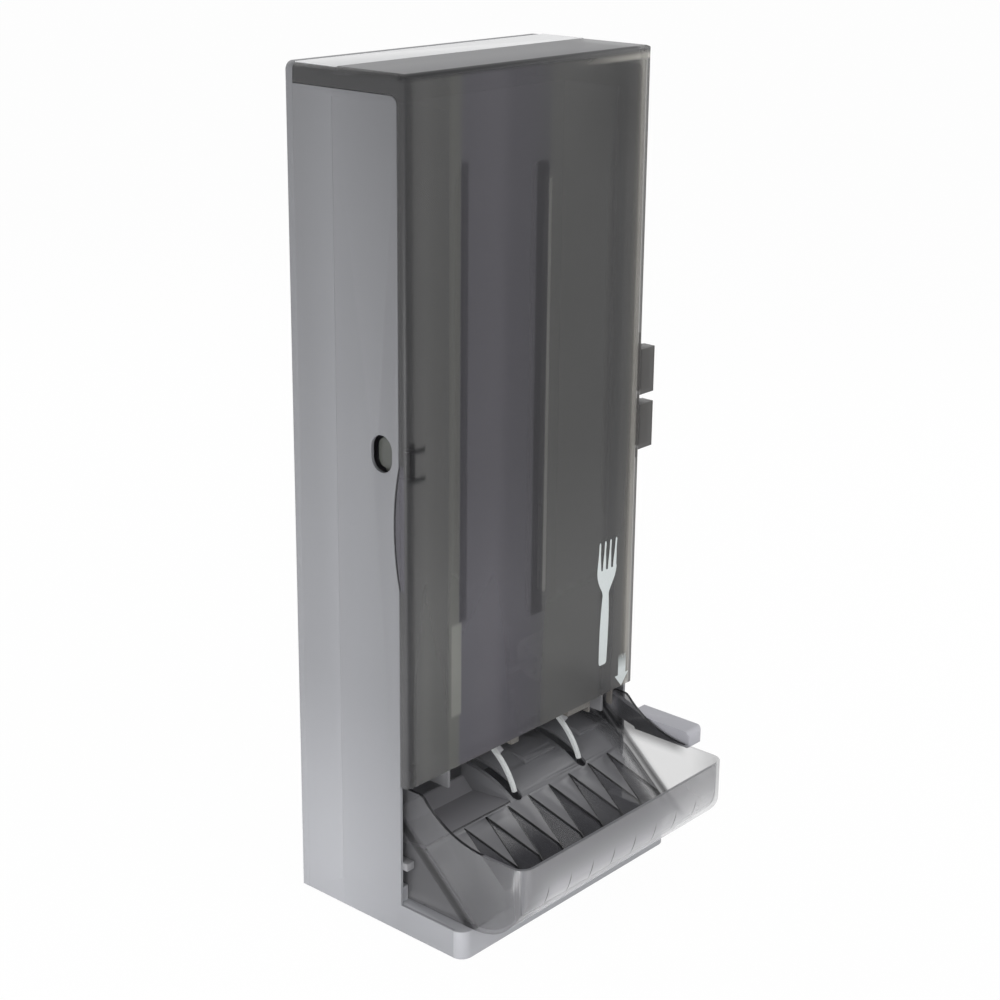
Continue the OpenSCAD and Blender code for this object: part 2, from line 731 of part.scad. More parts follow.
module latch_tongue() {
    button_r = 0.35 * latch_hole_w;
    hub_h = ear_gap - 2 * seam;
    color(smoke) difference() {
        union() {
            translate([latch_pin_x, latch_pin_y, ear_z - hub_h / 2]) cylinder(r = latch_hub_r, h = hub_h);
            span([tongue_x, latch_pin_y - 0.6 * tongue_t, ear_z - hub_h / 2],
                [latch_pin_x, latch_pin_y + 0.6 * tongue_t, ear_z + hub_h / 2]);
            span([tongue_x, latch_pin_y - 0.6 * tongue_t, ear_z - 0.4 * ear_gap],
                [tongue_x + tongue_t, latch_y, ear_z + hub_h / 2]);
            for (side = [-1, 1])
                rod_x(tongue_x, latch_y, latch_z + side * 0.15 * latch_hole_h, button_r, tongue_t);
            span([tongue_x, latch_y - button_r, latch_z - 0.15 * latch_hole_h],
                [tongue_x + tongue_t, latch_y + button_r, latch_z + 0.15 * latch_hole_h]);
        }
        translate([latch_pin_x, latch_pin_y, ear_z - ear_gap]) cylinder(r = latch_pin_r + run_fit, h = 2 * ear_gap);
    }
}

module latch_pin() {
    color(steel) translate([latch_pin_x, latch_pin_y, ear_z - ear_gap / 2 - ear_t])
        cylinder(r = latch_pin_r, h = ear_gap + 2 * ear_t);
}

// Magazine and mechanism frames

module magazine_wall_left() {
    color(light_grey) span([frame_l, mag_front_y, mag_z], [mag_l, plate_y, mag_top_z]);
}

module magazine_wall_right() {
    color(light_grey) span([mag_r, mag_front_y, mag_z], [frame_r, plate_y, mag_top_z]);
}

module magazine_back_wall() {
    color(light_grey) span([mag_l, mag_back_y, mag_z], [mag_r, mag_back_y + mag_t, mag_top_z]);
}

function frame_screw_x(side) = side < 0 ? frame_l - frame_flange_w / 2 : frame_r + frame_flange_w / 2;
function frame_screw_zs() = [frame_z + 3 * screw_head_r, mag_z - 3 * screw_head_r];

module mech_frame(side) {
    x0 = side < 0 ? frame_l : mag_r;
    flange_x = side < 0 ? frame_l - frame_flange_w : mag_r;
    difference() {
        union() {
            span([x0, mag_front_y, frame_z], [x0 + mag_t, plate_y, mag_z]);
            span([flange_x, plate_y - mag_t, frame_z], [flange_x + frame_flange_w + mag_t, plate_y, mag_z]);
        }
        rod_x(x0 - 1, rotor_y, rotor_z, rotor_shaft_r + run_fit + bush_t, mag_t + 2);
        rod_x(x0 - 1, lever_y, lever_z, lever_shaft_r + run_fit + bush_t, side > 0 ? mag_t + 2 : fine);
        for (z = frame_screw_zs()) rod_y(frame_screw_x(side), plate_y - mag_t - 1, z, screw_r, mag_t + 2);
    }
}

module mech_frame_left() {
    color(light_grey) mech_frame(-1);
}

module mech_frame_right() {
    color(light_grey) mech_frame(1);
}

module frame_screws() {
    color(steel) for (side = [-1, 1], z = frame_screw_zs()) {
        rod_y(frame_screw_x(side), plate_y - mag_t, z, screw_r, mag_t + back_t - seam);
        rod_y(frame_screw_x(side), plate_y - mag_t - screw_head_t, z, screw_head_r, screw_head_t);
    }
}

module chute_plate() {
    color(light_grey) translate([mag_l, chute_y, chute_z]) rotate([chute_a, 0, 0])
        span([0, 0, -chute_t], [mag_r - mag_l, chute_l, 0]);
}

// A sleeve with a flange on the side that is given
module bushing(x, y, z, r, l, side) {
    flange_x = side < 0 ? x - bush_t : x + l;
    difference() {
        union() {
            rod_x(x, y, z, r + run_fit + bush_t, l);
            rod_x(flange_x, y, z, r + 2.6 * bush_t, bush_t);
        }
        rod_x(x - 5, y, z, r + run_fit, l + 10);
    }
}

module rotor_bushings() {
    color(acetal) {
        bushing(frame_l, rotor_y, rotor_z, rotor_shaft_r, mag_t, -1);
        bushing(mag_r, rotor_y, rotor_z, rotor_shaft_r, mag_t, 1);
    }
}

module lever_bushings() {
    color(acetal) {
        bushing(mag_r, lever_y, lever_z, lever_shaft_r, mag_t, 1);
        bushing(inner_w, lever_y, lever_z, lever_shaft_r, wall, 1);
    }
}

module rotor_shaft() {
    color(steel) rod_x(frame_l - mag_t, rotor_y, rotor_z, rotor_shaft_r, gear_x + gear_t + 2 * seam - frame_l + mag_t);
}

module rotor(x) {
    color(acetal) difference() {
        rod_x(x - rotor_w / 2, rotor_y, rotor_z, rotor_r, rotor_w);
        rod_x(x - rotor_w, rotor_y, rotor_z, rotor_shaft_r, 2 * rotor_w);
        span([x - rotor_w, rotor_y - pocket_w / 2, rotor_z + rotor_r - pocket_d],
            [x + rotor_w, rotor_y + pocket_w / 2, rotor_z + 2 * rotor_r]);
        for (a = [150, 210, 270, 330, 30])
            translate([x - rotor_w, rotor_y, rotor_z]) rotate([a - 90, 0, 0]) translate([0, 0, rotor_r * 0.6])
                rotate([0, 90, 0]) cylinder(r = rotor_r / 6, h = rotor_w * 0.8);
    }
}

module rotor_left() {
    rotor(mag_x - rotor_pitch / 2);
}

module rotor_right() {
    rotor(mag_x + rotor_pitch / 2);
}

// Involute gear teeth
pressure_a = 20;
function base_r(n) = gear_m * n / 2 * cos(pressure_a);
function roll(n, r) = sqrt(max(0, pow(r / base_r(n), 2) - 1)) * 180 / PI;
function unwind(n, r) = roll(n, r) - atan(roll(n, r) * PI / 180);
function half_tooth(n, r) =
    90 / n - backlash / 2 / (gear_m * n) * 180 / PI + unwind(n, gear_m * n / 2) - unwind(n, max(r, base_r(n)));
function tooth(n, at) = let (root = gear_m * (n / 2 - 1.25), tip = gear_m * (n / 2 + 0.95)) [
    for (i = [0:5]) let (r = root + (tip - root) * i / 5) r * [cos(at - half_tooth(n, r)), sin(at - half_tooth(n, r))],
    for (i = [5:-1:0]) let (r = root + (tip - root) * i / 5) r * [cos(at + half_tooth(n, r)), sin(at + half_tooth(n, r))]
];

module pinion_gear() {
    first = gear_line_a + 180 + 180 / pinion_teeth;
    color(acetal) difference() {
        translate([0, rotor_y, rotor_z]) along_x(gear_x, gear_t)
            polygon([for (i = [0:pinion_teeth - 1]) each tooth(pinion_teeth, first + 360 * i / pinion_teeth)]);
        rod_x(gear_x - 1, rotor_y, rotor_z, rotor_shaft_r, gear_t + 2);
    }
}

module sector_gear() {
    pitch_a = 360 / sector_teeth;
    count = floor(sector_half_a / pitch_a);
    color(acetal) difference() {
        translate([0, lever_y, lever_z]) along_x(gear_x, gear_t) {
            polygon([[0, 0], for (i = [-count:count]) each tooth(sector_teeth, gear_line_a + pitch_a * i)]);
            circle(hub_r);
        }
        rod_x(gear_x - 1, lever_y, lever_z, lever_shaft_r, gear_t + 2);
    }
}

module lever_shaft() {
    color(steel) {
        rod_x(shaft_l_x, lever_y, lever_z, lever_shaft_r, half_w + bush_t - seam - shaft_l_x);
        rod_x(shaft_l_x, lever_y, lever_z, 1.75 * lever_shaft_r, 0.75 * lever_shaft_r);
    }
}

module lever() {
    tip_y = front_y - paddle_reach;
    rear_y = tip_y + paddle_l;
    low_z = paddle_z - paddle_h;
    color(lever_grey) difference() {
        union() {
            intersection() {
                along_x(arm_x, paddle_w) difference() {
                    rounded_rect([tip_y, low_z], [rear_y + paddle_h / 3, paddle_z],
                        [paddle_r / 2, 0, 0, paddle_r]);
                    polygon([
                        [rear_y - paddle_h / 10, low_z - 1], [rear_y + 0.4 * paddle_h, paddle_z + 1],
                        [rear_y + paddle_h, low_z]
                    ]);
                }
                along_z(low_z, paddle_h) rounded_rect([arm_x, tip_y], [arm_x + paddle_w, rear_y + paddle_h / 3],
                    [paddle_r / 3, paddle_r, 0, 0]);
            }
            along_x(arm_x, arm_t) polygon([
                [rear_y - 0.6 * paddle_h, low_z], [lever_y + hub_r / 3, lever_z - 0.92 * hub_r],
                [lever_y - hub_r / 3, lever_z + 0.92 * hub_r], [rear_y - 0.6 * paddle_h, paddle_z]
            ]);
            rod_x(hub_x, lever_y, lever_z, hub_r, arm_x + arm_t - hub_x);
        }
        rod_x(hub_x - 1, lever_y, lever_z, lever_shaft_r, inner_w);
    }
}

// A torsion spring's coil round the lever shaft, with one leg on the frame and one down
module return_spring() {
    x0 = mag_r - spring_l;
    color(steel) {
        difference() {
            rod_x(x0, lever_y, lever_z, spring_r + spring_wire_r, spring_l);
            rod_x(x0 - 1, lever_y, lever_z, spring_r - spring_wire_r, spring_l + 2);
        }
        span([mag_r - 2 * spring_wire_r, lever_y + spring_r - spring_wire_r, lever_z],
            [mag_r, lever_y + spring_r + spring_wire_r, lever_z + 3 * spring_r]);
        span([x0, lever_y - spring_r - spring_wire_r, lever_z - 1.7 * spring_r],
            [x0 + 2 * spring_wire_r, lever_y - spring_r + spring_wire_r, lever_z]);
    }
}

// Chute fingers, clips and crossbar

module guide_finger(x) {
    under = 6 * finger_d;
    color(clear_white) {
        along_x(x - finger_t / 2, finger_t) polygon(concat(
            arc([finger_y, finger_z], finger_r - chute_t, finger_tip_a, finger_top_a, 16),
            arc([finger_y, finger_z], finger_r - chute_t - finger_d, finger_top_a, finger_tip_a, 16)));
        translate([x - finger_t / 2, chute_y, chute_z]) rotate([chute_a, 0, 0])
            span([0, -finger_d / 12, -chute_t - finger_d], [finger_t, under, -chute_t]);
    }
}

module guide_finger_left() {
    guide_finger(finger_xs[0]);
}

module guide_finger_right() {
    guide_finger(finger_xs[1]);
}

module finger_clips() {
    color(light_grey) for (x = finger_xs)
        translate([x + finger_t / 2, chute_y, chute_z]) rotate([chute_a, 0, 0])
            span([0, -1.75 * finger_d, -chute_t - 2 * finger_d], [1.75 * finger_d, 2.25 * finger_d, -chute_t]);
}

module front_crossbar() {
    h = bar_h;
    z0 = cover_z + bar_rise;
    y0 = mag_front_y - bar_d;
    y1 = mag_front_y - bar_d / 6;
    x1 = finger_xs[0];
    x2 = finger_xs[1];
    color(light_grey) {
        span([frame_l, y0, z0], [frame_r + 0.7 * h, mag_front_y, z0 + h]);
        span([x1 + 0.4 * h, y0, z0 - 0.6 * h], [x1 + 1.6 * h, y1, z0 + h / 7]);
        span([x2 - 1.1 * h, y0, z0 - 0.6 * h], [x2 + 2.7 * h, y1, z0 + h / 7]);
        span([x2 + 2.6 * h, y0, z0 - 1.3 * h], [x2 + 2.9 * h, y1, z0 + h / 7]);
        span([frame_r + 0.4 * h, y0, z0 - 1.7 * h], [frame_r + 0.7 * h, y1, z0 + h / 7]);
    }
}

// Tray

// The tray's side view, drawn in by d, with its bowed front and swept upper edge
function bow(d) = arc([tray_y + tray_bow_r, tray_z + tray_bow_r], tray_bow_r - d, 180, 270, 16);
function swept_edge() = concat(
    arc([sweep_y, sweep_z], sweep_r, -90, sweep_a),
    arc([shoulder_y, shoulder_z], shoulder_r, sweep_a + 180, 90, 8));

module tray_plan(d) {
    r = tray_corner_r - d;
    rounded_rect([-tray_half + d, tray_y + d], [tray_half - d, tray_back_y + (d > 0 ? 1 : 0)], [r, r, 0, 0]);
}

module tray_outer() {
    intersection() {
        along_x(-tray_half, tray_w) polygon(concat(
            [[tray_y, tray_rim_z]], bow(0), [[tray_back_y, tray_z], [tray_back_y, tray_side_z]],
            [for (i = [len(swept_edge()) - 1:-1:0]) swept_edge()[i]]));
        along_z(0, far) tray_plan(0);
    }
}

module tray_inner() {
    intersection() {
        along_x(-tray_half, tray_w) polygon(concat(
            [[tray_y + tray_t, far]], bow(tray_t), [[tray_back_y + 1, tray_z - 1], [tray_back_y + 1, far]]));
        along_z(0, far) tray_plan(tray_t);
    }
    span([-tray_half + tray_t, ramp_low_y + 5 * tray_t, 0], [tray_half - tray_t, tray_back_y + 1, tray_z + tray_t + 1]);
}

function ramp_top() = concat(
    [[ramp_low_y, ramp_low_z]],
    [for (p = arc([tray_back_y, ramp_c_z], ramp_r, 90 + ramp_a, 90)) p]);
function ramp_band(t) = concat(
    ramp_top(),
    [for (p = arc([tray_back_y, ramp_c_z], ramp_r - t, 90, 90 + ramp_a)) p],
    [[ramp_low_y + t / sin(ramp_a), ramp_low_z - fine]]);

// A recessed wedge that starts as a point at the ramp's upper end
module pleat(i) {
    x = -tray_half + pleat_set + i * pleat_pitch;
    translate([x, ramp_low_y, ramp_low_z]) rotate([ramp_a, 0, 0])
        translate([0, 0, -pleat_d]) linear_extrude(pleat_d + 1)
            polygon([
                [0, ramp_l + pleat_pitch / 3], [0, pleat_pitch / 2],
                [0.94 * pleat_pitch, pleat_pitch / 2], [0.94 * pleat_pitch, 0.9 * pleat_pitch]
            ]);
}

module saddle(x) {
    intersection() {
        along_x(x - 0.425 * saddle_r, 0.85 * saddle_r) polygon(concat(
            [for (p = arc([tray_back_y, ramp_c_z], ramp_r + saddle_h, 90 + ramp_a / 2, 90)) p],
            [for (p = arc([tray_back_y, ramp_c_z], ramp_r - tray_t / 2, 90, 90 + ramp_a / 2)) p]));
        rod_y(x, tray_back_y - ramp_r, crest_z + saddle_h - saddle_r, saddle_r, ramp_r);
    }
}

module pocket_shape(drop) {
    front_a = acos((pocket_y - tray_back_y) / ramp_r);
    front_z = ramp_c_z + ramp_r * sin(front_a);
    translate([0, -drop]) polygon([
        [pocket_y, front_z], [pocket_back_y, pocket_floor_z],
        [tray_back_y - 0.8 * tray_t, crest_z - 4.4 * tray_t], [tray_back_y + 1, crest_z - 4.4 * tray_t],
        [tray_back_y + 1, far], [pocket_y, far]
    ]);
}

module tray() {
    color(tray_smoke) difference() {
        union() {
            difference() {
                tray_outer();
                tray_inner();
            }
            difference() {
                intersection() {
                    union() {
                        along_x(-tray_half + 1, tray_w - 2) polygon(ramp_band(tray_t));
                        for (x = [finger_x + 0.615 * finger_pitch, finger_x + 1.474 * finger_pitch]) saddle(x);
                    }
                    along_z(0, far) tray_plan(1);
                }
                for (i = [0:pleats - 1]) pleat(i);
                along_x(-tray_half + tray_t, pocket_l) pocket_shape(tray_t);
            }
            intersection() {
                along_x(-tray_half + 1, pocket_l + tray_t) difference() {
                    pocket_shape(tray_t);
                    pocket_shape(0);
                }
                span([-far, -far, 0], [far, tray_back_y, far]);
            }
            along_x(pocket_x, tray_t) difference() {
                intersection() {
                    pocket_shape(tray_t);
                    rect([-far, 0], [tray_back_y, far]);
                }
                polygon(concat([[-far, ramp_low_z]], ramp_top(), [[far, crest_z], [far, far], [-far, far]]));
            }
        }
        for (x = finger_xs) {
            span([x - slot_w / 2, tray_back_y - slot_set + slot_w / 2, tray_rim_z / 2], [x + slot_w / 2, far, far]);
            translate([x, tray_back_y - slot_set + slot_w / 2, tray_rim_z / 2]) cylinder(r = slot_w / 2, h = far);
        }
    }
}

// Small clips that stop the tray's side walls behind the panels' front edges
module tray_catches() {
    h = runner_h / 2;
    color(light_grey) for (side = [-1, 1])
        span([min(side * inner_w, side * (tray_half + seam)), panel_y - 0.7 * h, foot_h + (4 - 0.7 * side) * h],
            [max(side * inner_w, side * (tray_half + seam)), panel_y + 1.3 * h, foot_h + (5 - 0.7 * side) * h]);
}

left_side_panel();
right_side_panel();
foot_base();
back_plate();
roof_panel();
cover();
hinge_bracket();
hinge_pin_upper();
hinge_pin_lower();
hinge_screws();
latch_tongue();
latch_pin();
magazine_wall_left();
magazine_wall_right();
magazine_back_wall();
mech_frame_left();
mech_frame_right();
chute_plate();
rotor_shaft();
rotor_left();
rotor_right();
rotor_bushings();
pinion_gear();
lever();
lever_shaft();
sector_gear();
lever_bushings();
return_spring();
guide_finger_left();
guide_finger_right();
finger_clips();
front_crossbar();
tray();
tray_catches();
rubber_feet();
back_plate_screws();
frame_screws();
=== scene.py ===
import math

import bpy
from mathutils import Matrix, Vector


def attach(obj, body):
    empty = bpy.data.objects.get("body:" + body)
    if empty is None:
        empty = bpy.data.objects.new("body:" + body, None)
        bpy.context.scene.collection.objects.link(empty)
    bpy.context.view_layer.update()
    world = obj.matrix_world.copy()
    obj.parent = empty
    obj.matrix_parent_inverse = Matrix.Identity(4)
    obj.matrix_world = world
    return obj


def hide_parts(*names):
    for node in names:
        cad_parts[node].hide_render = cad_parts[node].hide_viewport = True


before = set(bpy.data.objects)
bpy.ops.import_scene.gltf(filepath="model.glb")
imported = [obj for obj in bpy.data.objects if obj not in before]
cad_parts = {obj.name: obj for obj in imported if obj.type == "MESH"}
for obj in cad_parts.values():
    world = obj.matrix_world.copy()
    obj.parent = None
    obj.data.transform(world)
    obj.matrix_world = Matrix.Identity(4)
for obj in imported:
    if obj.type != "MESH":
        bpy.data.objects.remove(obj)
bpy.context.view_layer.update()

scene = bpy.context.scene
scene.view_settings.view_transform = "Standard"

# ---------------------------------------------------------------------------
# Camera. The photograph looks down on the dispenser from its left front corner
# with a long lens, so that the uprights stay nearly parallel.
camera_place = Vector((-1.0615, -0.9294, 0.7870))
camera_right = Vector((0.661654, -0.749747, 0.009710))
camera_up = Vector((0.220710, 0.207121, 0.953094))
bpy.ops.object.camera_add(location=camera_place)
camera = bpy.context.object
camera.name = "photo_camera"
camera_turn = Matrix((camera_right, camera_up, camera_right.cross(camera_up))).transposed()
camera.matrix_world = Matrix.Translation(camera_place) @ camera_turn.to_4x4()
camera.data.sensor_width = 36
camera.data.lens = 71.64
camera.data.shift_y = -0.05
camera.data.clip_start = 0.01
camera.data.clip_end = 50
scene.camera = camera


# ---------------------------------------------------------------------------
# Studio. A pale seamless floor under the dispenser and soft light all round it,
# with a key from the upper left and a low fill that lifts the foot.
def feed(tree, socket, given):
    """Links a socket, or sets its plain number or colour."""
    if isinstance(given, bpy.types.NodeSocket):
        tree.links.new(given, socket)
    elif isinstance(given, tuple):
        socket.default_value = (*given, 1)
    elif given is not None:
        socket.default_value = given


def calc(tree, kind, first, second=0.0, third=None):
    """One Math node on sockets or plain numbers."""
    node = tree.nodes.new("ShaderNodeMath")
    node.operation = kind
    for socket, given in zip(node.inputs, (first, second, third)):
        feed(tree, socket, given)
    return node.outputs[0]


def white_when_seen(tree, white_share, lit, white, surface):
    """Shows the white shader to the camera, gloss and glass, and the lit one to all else."""
    rays = tree.nodes.new("ShaderNodeLightPath").outputs
    seen = calc(tree, "MAXIMUM", rays["Is Camera Ray"], rays["Is Glossy Ray"])
    seen = calc(tree, "MAXIMUM", seen, rays["Is Transmission Ray"])
    pick = tree.nodes.new("ShaderNodeMixShader")
    feed(tree, pick.inputs["Fac"], calc(tree, "MULTIPLY", seen, white_share))
    feed(tree, pick.inputs[1], lit)
    feed(tree, pick.inputs[2], white)
    feed(tree, surface, pick.outputs["Shader"])


bpy.ops.mesh.primitive_plane_add(size=60, location=(0, 0, -0.0004))
floor = bpy.context.object
floor.name = "studio_floor"
pale_floor = bpy.data.materials.new("pale_floor")
pale_floor.use_nodes = True
tree = pale_floor.node_tree
sheet = tree.nodes["Principled BSDF"]
sheet.inputs["Base Color"].default_value = (0.96, 0.96, 0.96, 1)
sheet.inputs["Roughness"].default_value = 0.9
paper = tree.nodes.new("ShaderNodeEmission")
paper.inputs["Color"].default_value = (1, 1, 1, 1)
paper.inputs["Strength"].default_value = 1.0
white_when_seen(tree, 0.972, sheet.outputs["BSDF"], paper.outputs["Emission"],
                tree.nodes["Material Output"].inputs["Surface"])
floor.data.materials.append(pale_floor)

scene.world = bpy.data.worlds.new("white_room")
scene.world.use_nodes = True
tree = scene.world.node_tree
ambient = tree.nodes["Background"]
ambient.inputs["Color"].default_value = (1, 1, 1, 1)
ambient.inputs["Strength"].default_value = 0.42
backdrop = tree.nodes.new("ShaderNodeBackground")
backdrop.inputs["Color"].default_value = (1, 1, 1, 1)
backdrop.inputs["Strength"].default_value = 1.0
white_when_seen(tree, 1.0, ambient.outputs["Background"], backdrop.outputs["Background"],
                tree.nodes["World Output"].inputs["Surface"])

for name, place, aim, size, power in (
        ("key_softbox", (-1.4, -0.5, 1.0), (0, 0, 0.3), 1.2, 4),
        ("front_softbox", (0.3, -1.9, 1.0), (0, 0, 0.3), 1.4, 9),
        ("low_fill", (-0.75, -0.35, 0.10), (0, 0, 0.06), 0.5, 6),
        ("right_softbox", (1.5, -0.4, 0.9), (0, 0, 0.25), 1.0, 8),
        ("back_softbox", (0.2, 1.8, 1.4), (0, 0, 0.35), 1.4, 11)):
    bpy.ops.object.light_add(type="AREA", location=place)
    lamp = bpy.context.object
    lamp.name = name
    lamp.data.size = size
    lamp.data.energy = power
    way = Vector(aim) - Vector(place)
    lamp.rotation_euler = way.to_track_quat("-Z", "Y").to_euler()


# ---------------------------------------------------------------------------
# Moulded housing. The two side panels, the foot and the back plate are one family of
# light grey satin mouldings, screwed together from behind: fine spark-eroded texture,
# softly broken edges, and, but for the foot, a painted shade that darkens them towards the top.
def node_group(name, wanted_in, wanted_out):
    """A new shader node group with named inputs and outputs."""
    group = bpy.data.node_groups.new(name, "ShaderNodeTree")
    for label, kind, value in wanted_in:
        group.interface.new_socket(label, in_out="INPUT", socket_type=kind).default_value = value
    for label, kind in wanted_out:
        group.interface.new_socket(label, in_out="OUTPUT", socket_type=kind)
    return group, group.nodes.new("NodeGroupInput").outputs, group.nodes.new("NodeGroupOutput").inputs


def axes(tree):
    """The X, Y and Z of Object coordinates, in metres."""
    split = tree.nodes.new("ShaderNodeSeparateXYZ")
    feed(tree, split.inputs[0], tree.nodes.new("ShaderNodeTexCoord").outputs["Object"])
    return split.outputs["X"], split.outputs["Y"], split.outputs["Z"]


def noise(tree, scale, detail):
    """Noise from 0 to 1 on Object coordinates."""
    node = tree.nodes.new("ShaderNodeTexNoise")
    node.inputs["Detail"].default_value = detail
    feed(tree, node.inputs["Vector"], tree.nodes.new("ShaderNodeTexCoord").outputs["Object"])
    feed(tree, node.inputs["Scale"], scale)
    return node.outputs["Fac"]


def step_up(tree, value, low, high, start=0.0, end=1.0, kind="SMOOTHSTEP"):
    """A soft step from start to end while the value goes from low to high."""
    node = tree.nodes.new("ShaderNodeMapRange")
    node.interpolation_type = kind
    for label, given in (("Value", value), ("From Min", low), ("From Max", high),
                         ("To Min", start), ("To Max", end)):
        feed(tree, node.inputs[label], given)
    return node.outputs["Result"]


def mixed(tree, share, under, over):
    """The colour or socket over, laid on under by a share."""
    node = tree.nodes.new("ShaderNodeMix")
    node.data_type = "RGBA"
    feed(tree, node.inputs[0], share)
    feed(tree, node.inputs[6], under)
    feed(tree, node.inputs[7], over)
    return node.outputs[2]


# Spark-eroded mould texture with a drifting tone, and a painted shade that darkens it fast above the foot,
# then slowly
mould_grain, given, made = node_group(
    "mould_grain",
    (("Tint", "NodeSocketColor", (0.5, 0.5, 0.5, 1)), ("Grain Size", "NodeSocketFloat", 2600.0),
     ("Drift", "NodeSocketFloat", 0.05), ("Top Shade", "NodeSocketFloat", 0.0),
     ("Rough Low", "NodeSocketFloat", 0.40), ("Rough High", "NodeSocketFloat", 0.56)),
    (("Color", "NodeSocketColor"), ("Roughness", "NodeSocketFloat"), ("Height", "NodeSocketFloat")))
tree = mould_grain
fine = noise(tree, given["Grain Size"], 3)
broad = calc(tree, "SUBTRACT", noise(tree, 6, 2), 0.5)
drift = calc(tree, "MULTIPLY_ADD", broad, given["Drift"], 1.0)
z = axes(tree)[2]
fall = calc(tree, "ADD", step_up(tree, z, 0.02, 0.20, 0.0, 0.65),
            step_up(tree, z, 0.15, 0.60, 0.0, 0.35, "LINEAR"))
tone = calc(tree, "SUBTRACT", drift, calc(tree, "MULTIPLY", fall, given["Top Shade"]))
tinted = tree.nodes.new("ShaderNodeVectorMath")
tinted.operation = "SCALE"
feed(tree, tinted.inputs[0], given["Tint"])
feed(tree, tinted.inputs["Scale"], tone)
feed(tree, made["Color"], tinted.outputs[0])
feed(tree, made["Roughness"],
     step_up(tree, fine, 0.0, 1.0, given["Rough Low"], given["Rough High"], "LINEAR"))
feed(tree, made["Height"], fine)


def skin_of(mat):
    """The inputs of a material's Principled shader."""
    return mat.node_tree.nodes["Principled BSDF"].inputs


def moulded(name, tint=None, rough=(0.40, 0.56), drift_by=0.05, top_shade=0.0,
            grain_size=2600.0, bump=0.05):
    """A moulded plastic: the shared grain, with this piece's own colour and values."""
    mat = bpy.data.materials.new(name)
    mat.use_nodes = True
    tree = mat.node_tree
    grain = tree.nodes.new("ShaderNodeGroup")
    grain.name = "grain"
    grain.node_tree = mould_grain
    for label, value in (("Tint", tint), ("Drift", drift_by), ("Top Shade", top_shade),
                         ("Grain Size", grain_size), ("Rough Low", rough[0]), ("Rough High", rough[1])):
        feed(tree, grain.inputs[label], value)
    relief = tree.nodes.new("ShaderNodeBump")
    relief.name = "relief"
    relief.inputs["Strength"].default_value = bump
    relief.inputs["Distance"].default_value = 0.0002
    feed(tree, relief.inputs["Height"], grain.outputs["Height"])
    skin = skin_of(mat)
    skin["IOR"].default_value = 1.46
    feed(tree, skin["Base Color"], grain.outputs["Color"])
    feed(tree, skin["Roughness"], grain.outputs["Roughness"])
    feed(tree, skin["Normal"], relief.outputs["Normal"])
    return mat


def tint_by(mat, tone):
    """Gives a moulding a painted tone in place of one tint."""
    feed(mat.node_tree, mat.node_tree.nodes["grain"].inputs["Tint"], tone)


def soft_edged(node, body, mat, width, segments=2):
    """A copy of a CAD node as a moulding with softly broken edges, which replaces the node."""
    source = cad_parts[node]
    piece = source.copy()
    piece.data = source.data.copy()
    piece.name = node + "_moulding"
    piece.parent = None
    piece.matrix_world = Matrix.Identity(4)
    scene.collection.objects.link(piece)
    bpy.ops.object.select_all(action="DESELECT")
    bpy.context.view_layer.objects.active = piece
    piece.select_set(True)
    bpy.ops.object.mode_set(mode="EDIT")
    bpy.ops.mesh.select_all(action="SELECT")
    bpy.ops.mesh.remove_doubles(threshold=0.000002)
    bpy.ops.mesh.dissolve_limited(angle_limit=math.radians(0.5))
    bpy.ops.object.mode_set(mode="OBJECT")
    edge = piece.modifiers.new("broken_edges", "BEVEL")
    edge.width = width
    edge.segments = segments
    edge.limit_method = "ANGLE"
    edge.angle_limit = math.radians(32)
    bpy.ops.object.modifier_apply(modifier="broken_edges")
    piece.data.materials.clear()
    piece.data.materials.append(mat)
    bpy.ops.object.shade_smooth_by_angle(angle=math.radians(28))
    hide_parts(node)
    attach(piece, body)
    return piece


# The side is darkest at its front edge and steps paler behind the groove, under a painted shade that darkens
# it towards the top
housing_grey = moulded("housing_grey_moulding", top_shade=0.465)
tree = housing_grey.node_tree
y = axes(tree)[1]
groove_y = 0.0375
tone = mixed(tree, step_up(tree, y, -0.0216, groove_y, kind="LINEAR"),
             (0.262, 0.266, 0.282), (0.345, 0.350, 0.372))
tone = mixed(tree, step_up(tree, y, groove_y, groove_y + 0.0015), tone, (0.360, 0.365, 0.387))
tint_by(housing_grey, tone)
foot_grey = moulded("foot_grey_moulding", (0.345, 0.348, 0.370))
soft_edged("left_side_panel", "housing", housing_grey, 0.0005)
soft_edged("right_side_panel", "housing", housing_grey, 0.0005)
soft_edged("foot_base", "housing", foot_grey, 0.0005)
soft_edged("back_plate", "housing", housing_grey, 0.0006)

# ---------------------------------------------------------------------------
# Roof panel. A paler cap strip that closes the top behind the cover, moulded with
# a glossier face and held between the side panels.
roof_white = moulded("roof_white_moulding", (0.90, 0.905, 0.92), rough=(0.16, 0.26), drift_by=0.03)
skin_of(roof_white)["Specular IOR Level"].default_value = 0.9
soft_edged("roof_panel", "housing", roof_white, 0.0004)

# ---------------------------------------------------------------------------
# Smoke cover. One deep moulding in smoke-tinted polycarbonate with a frosted inside:
# a hinged door with a top wall, a band, a finger pull and vertical stack ribs, whose
# roots show through the front as darker stripes.
cover_smoke = moulded("cover_smoke_polycarbonate", rough=(0.34, 0.46), drift_by=0.10,
                      grain_size=3200.0, bump=0.03)
skin = skin_of(cover_smoke)
skin["IOR"].default_value = 1.5
skin["Specular IOR Level"].default_value = 0.32
tree = cover_smoke.node_tree
x, y, z = axes(tree)
half_w = 0.132


def between(tree, value, low, high, soft):
    """1 from low to high and 0 outside, with edges as wide as soft."""
    rise = step_up(tree, value, low - soft / 2, low + soft / 2)
    fall = step_up(tree, value, high - soft / 2, high + soft / 2, 1.0, 0.0)
    return calc(tree, "MULTIPLY", rise, fall)


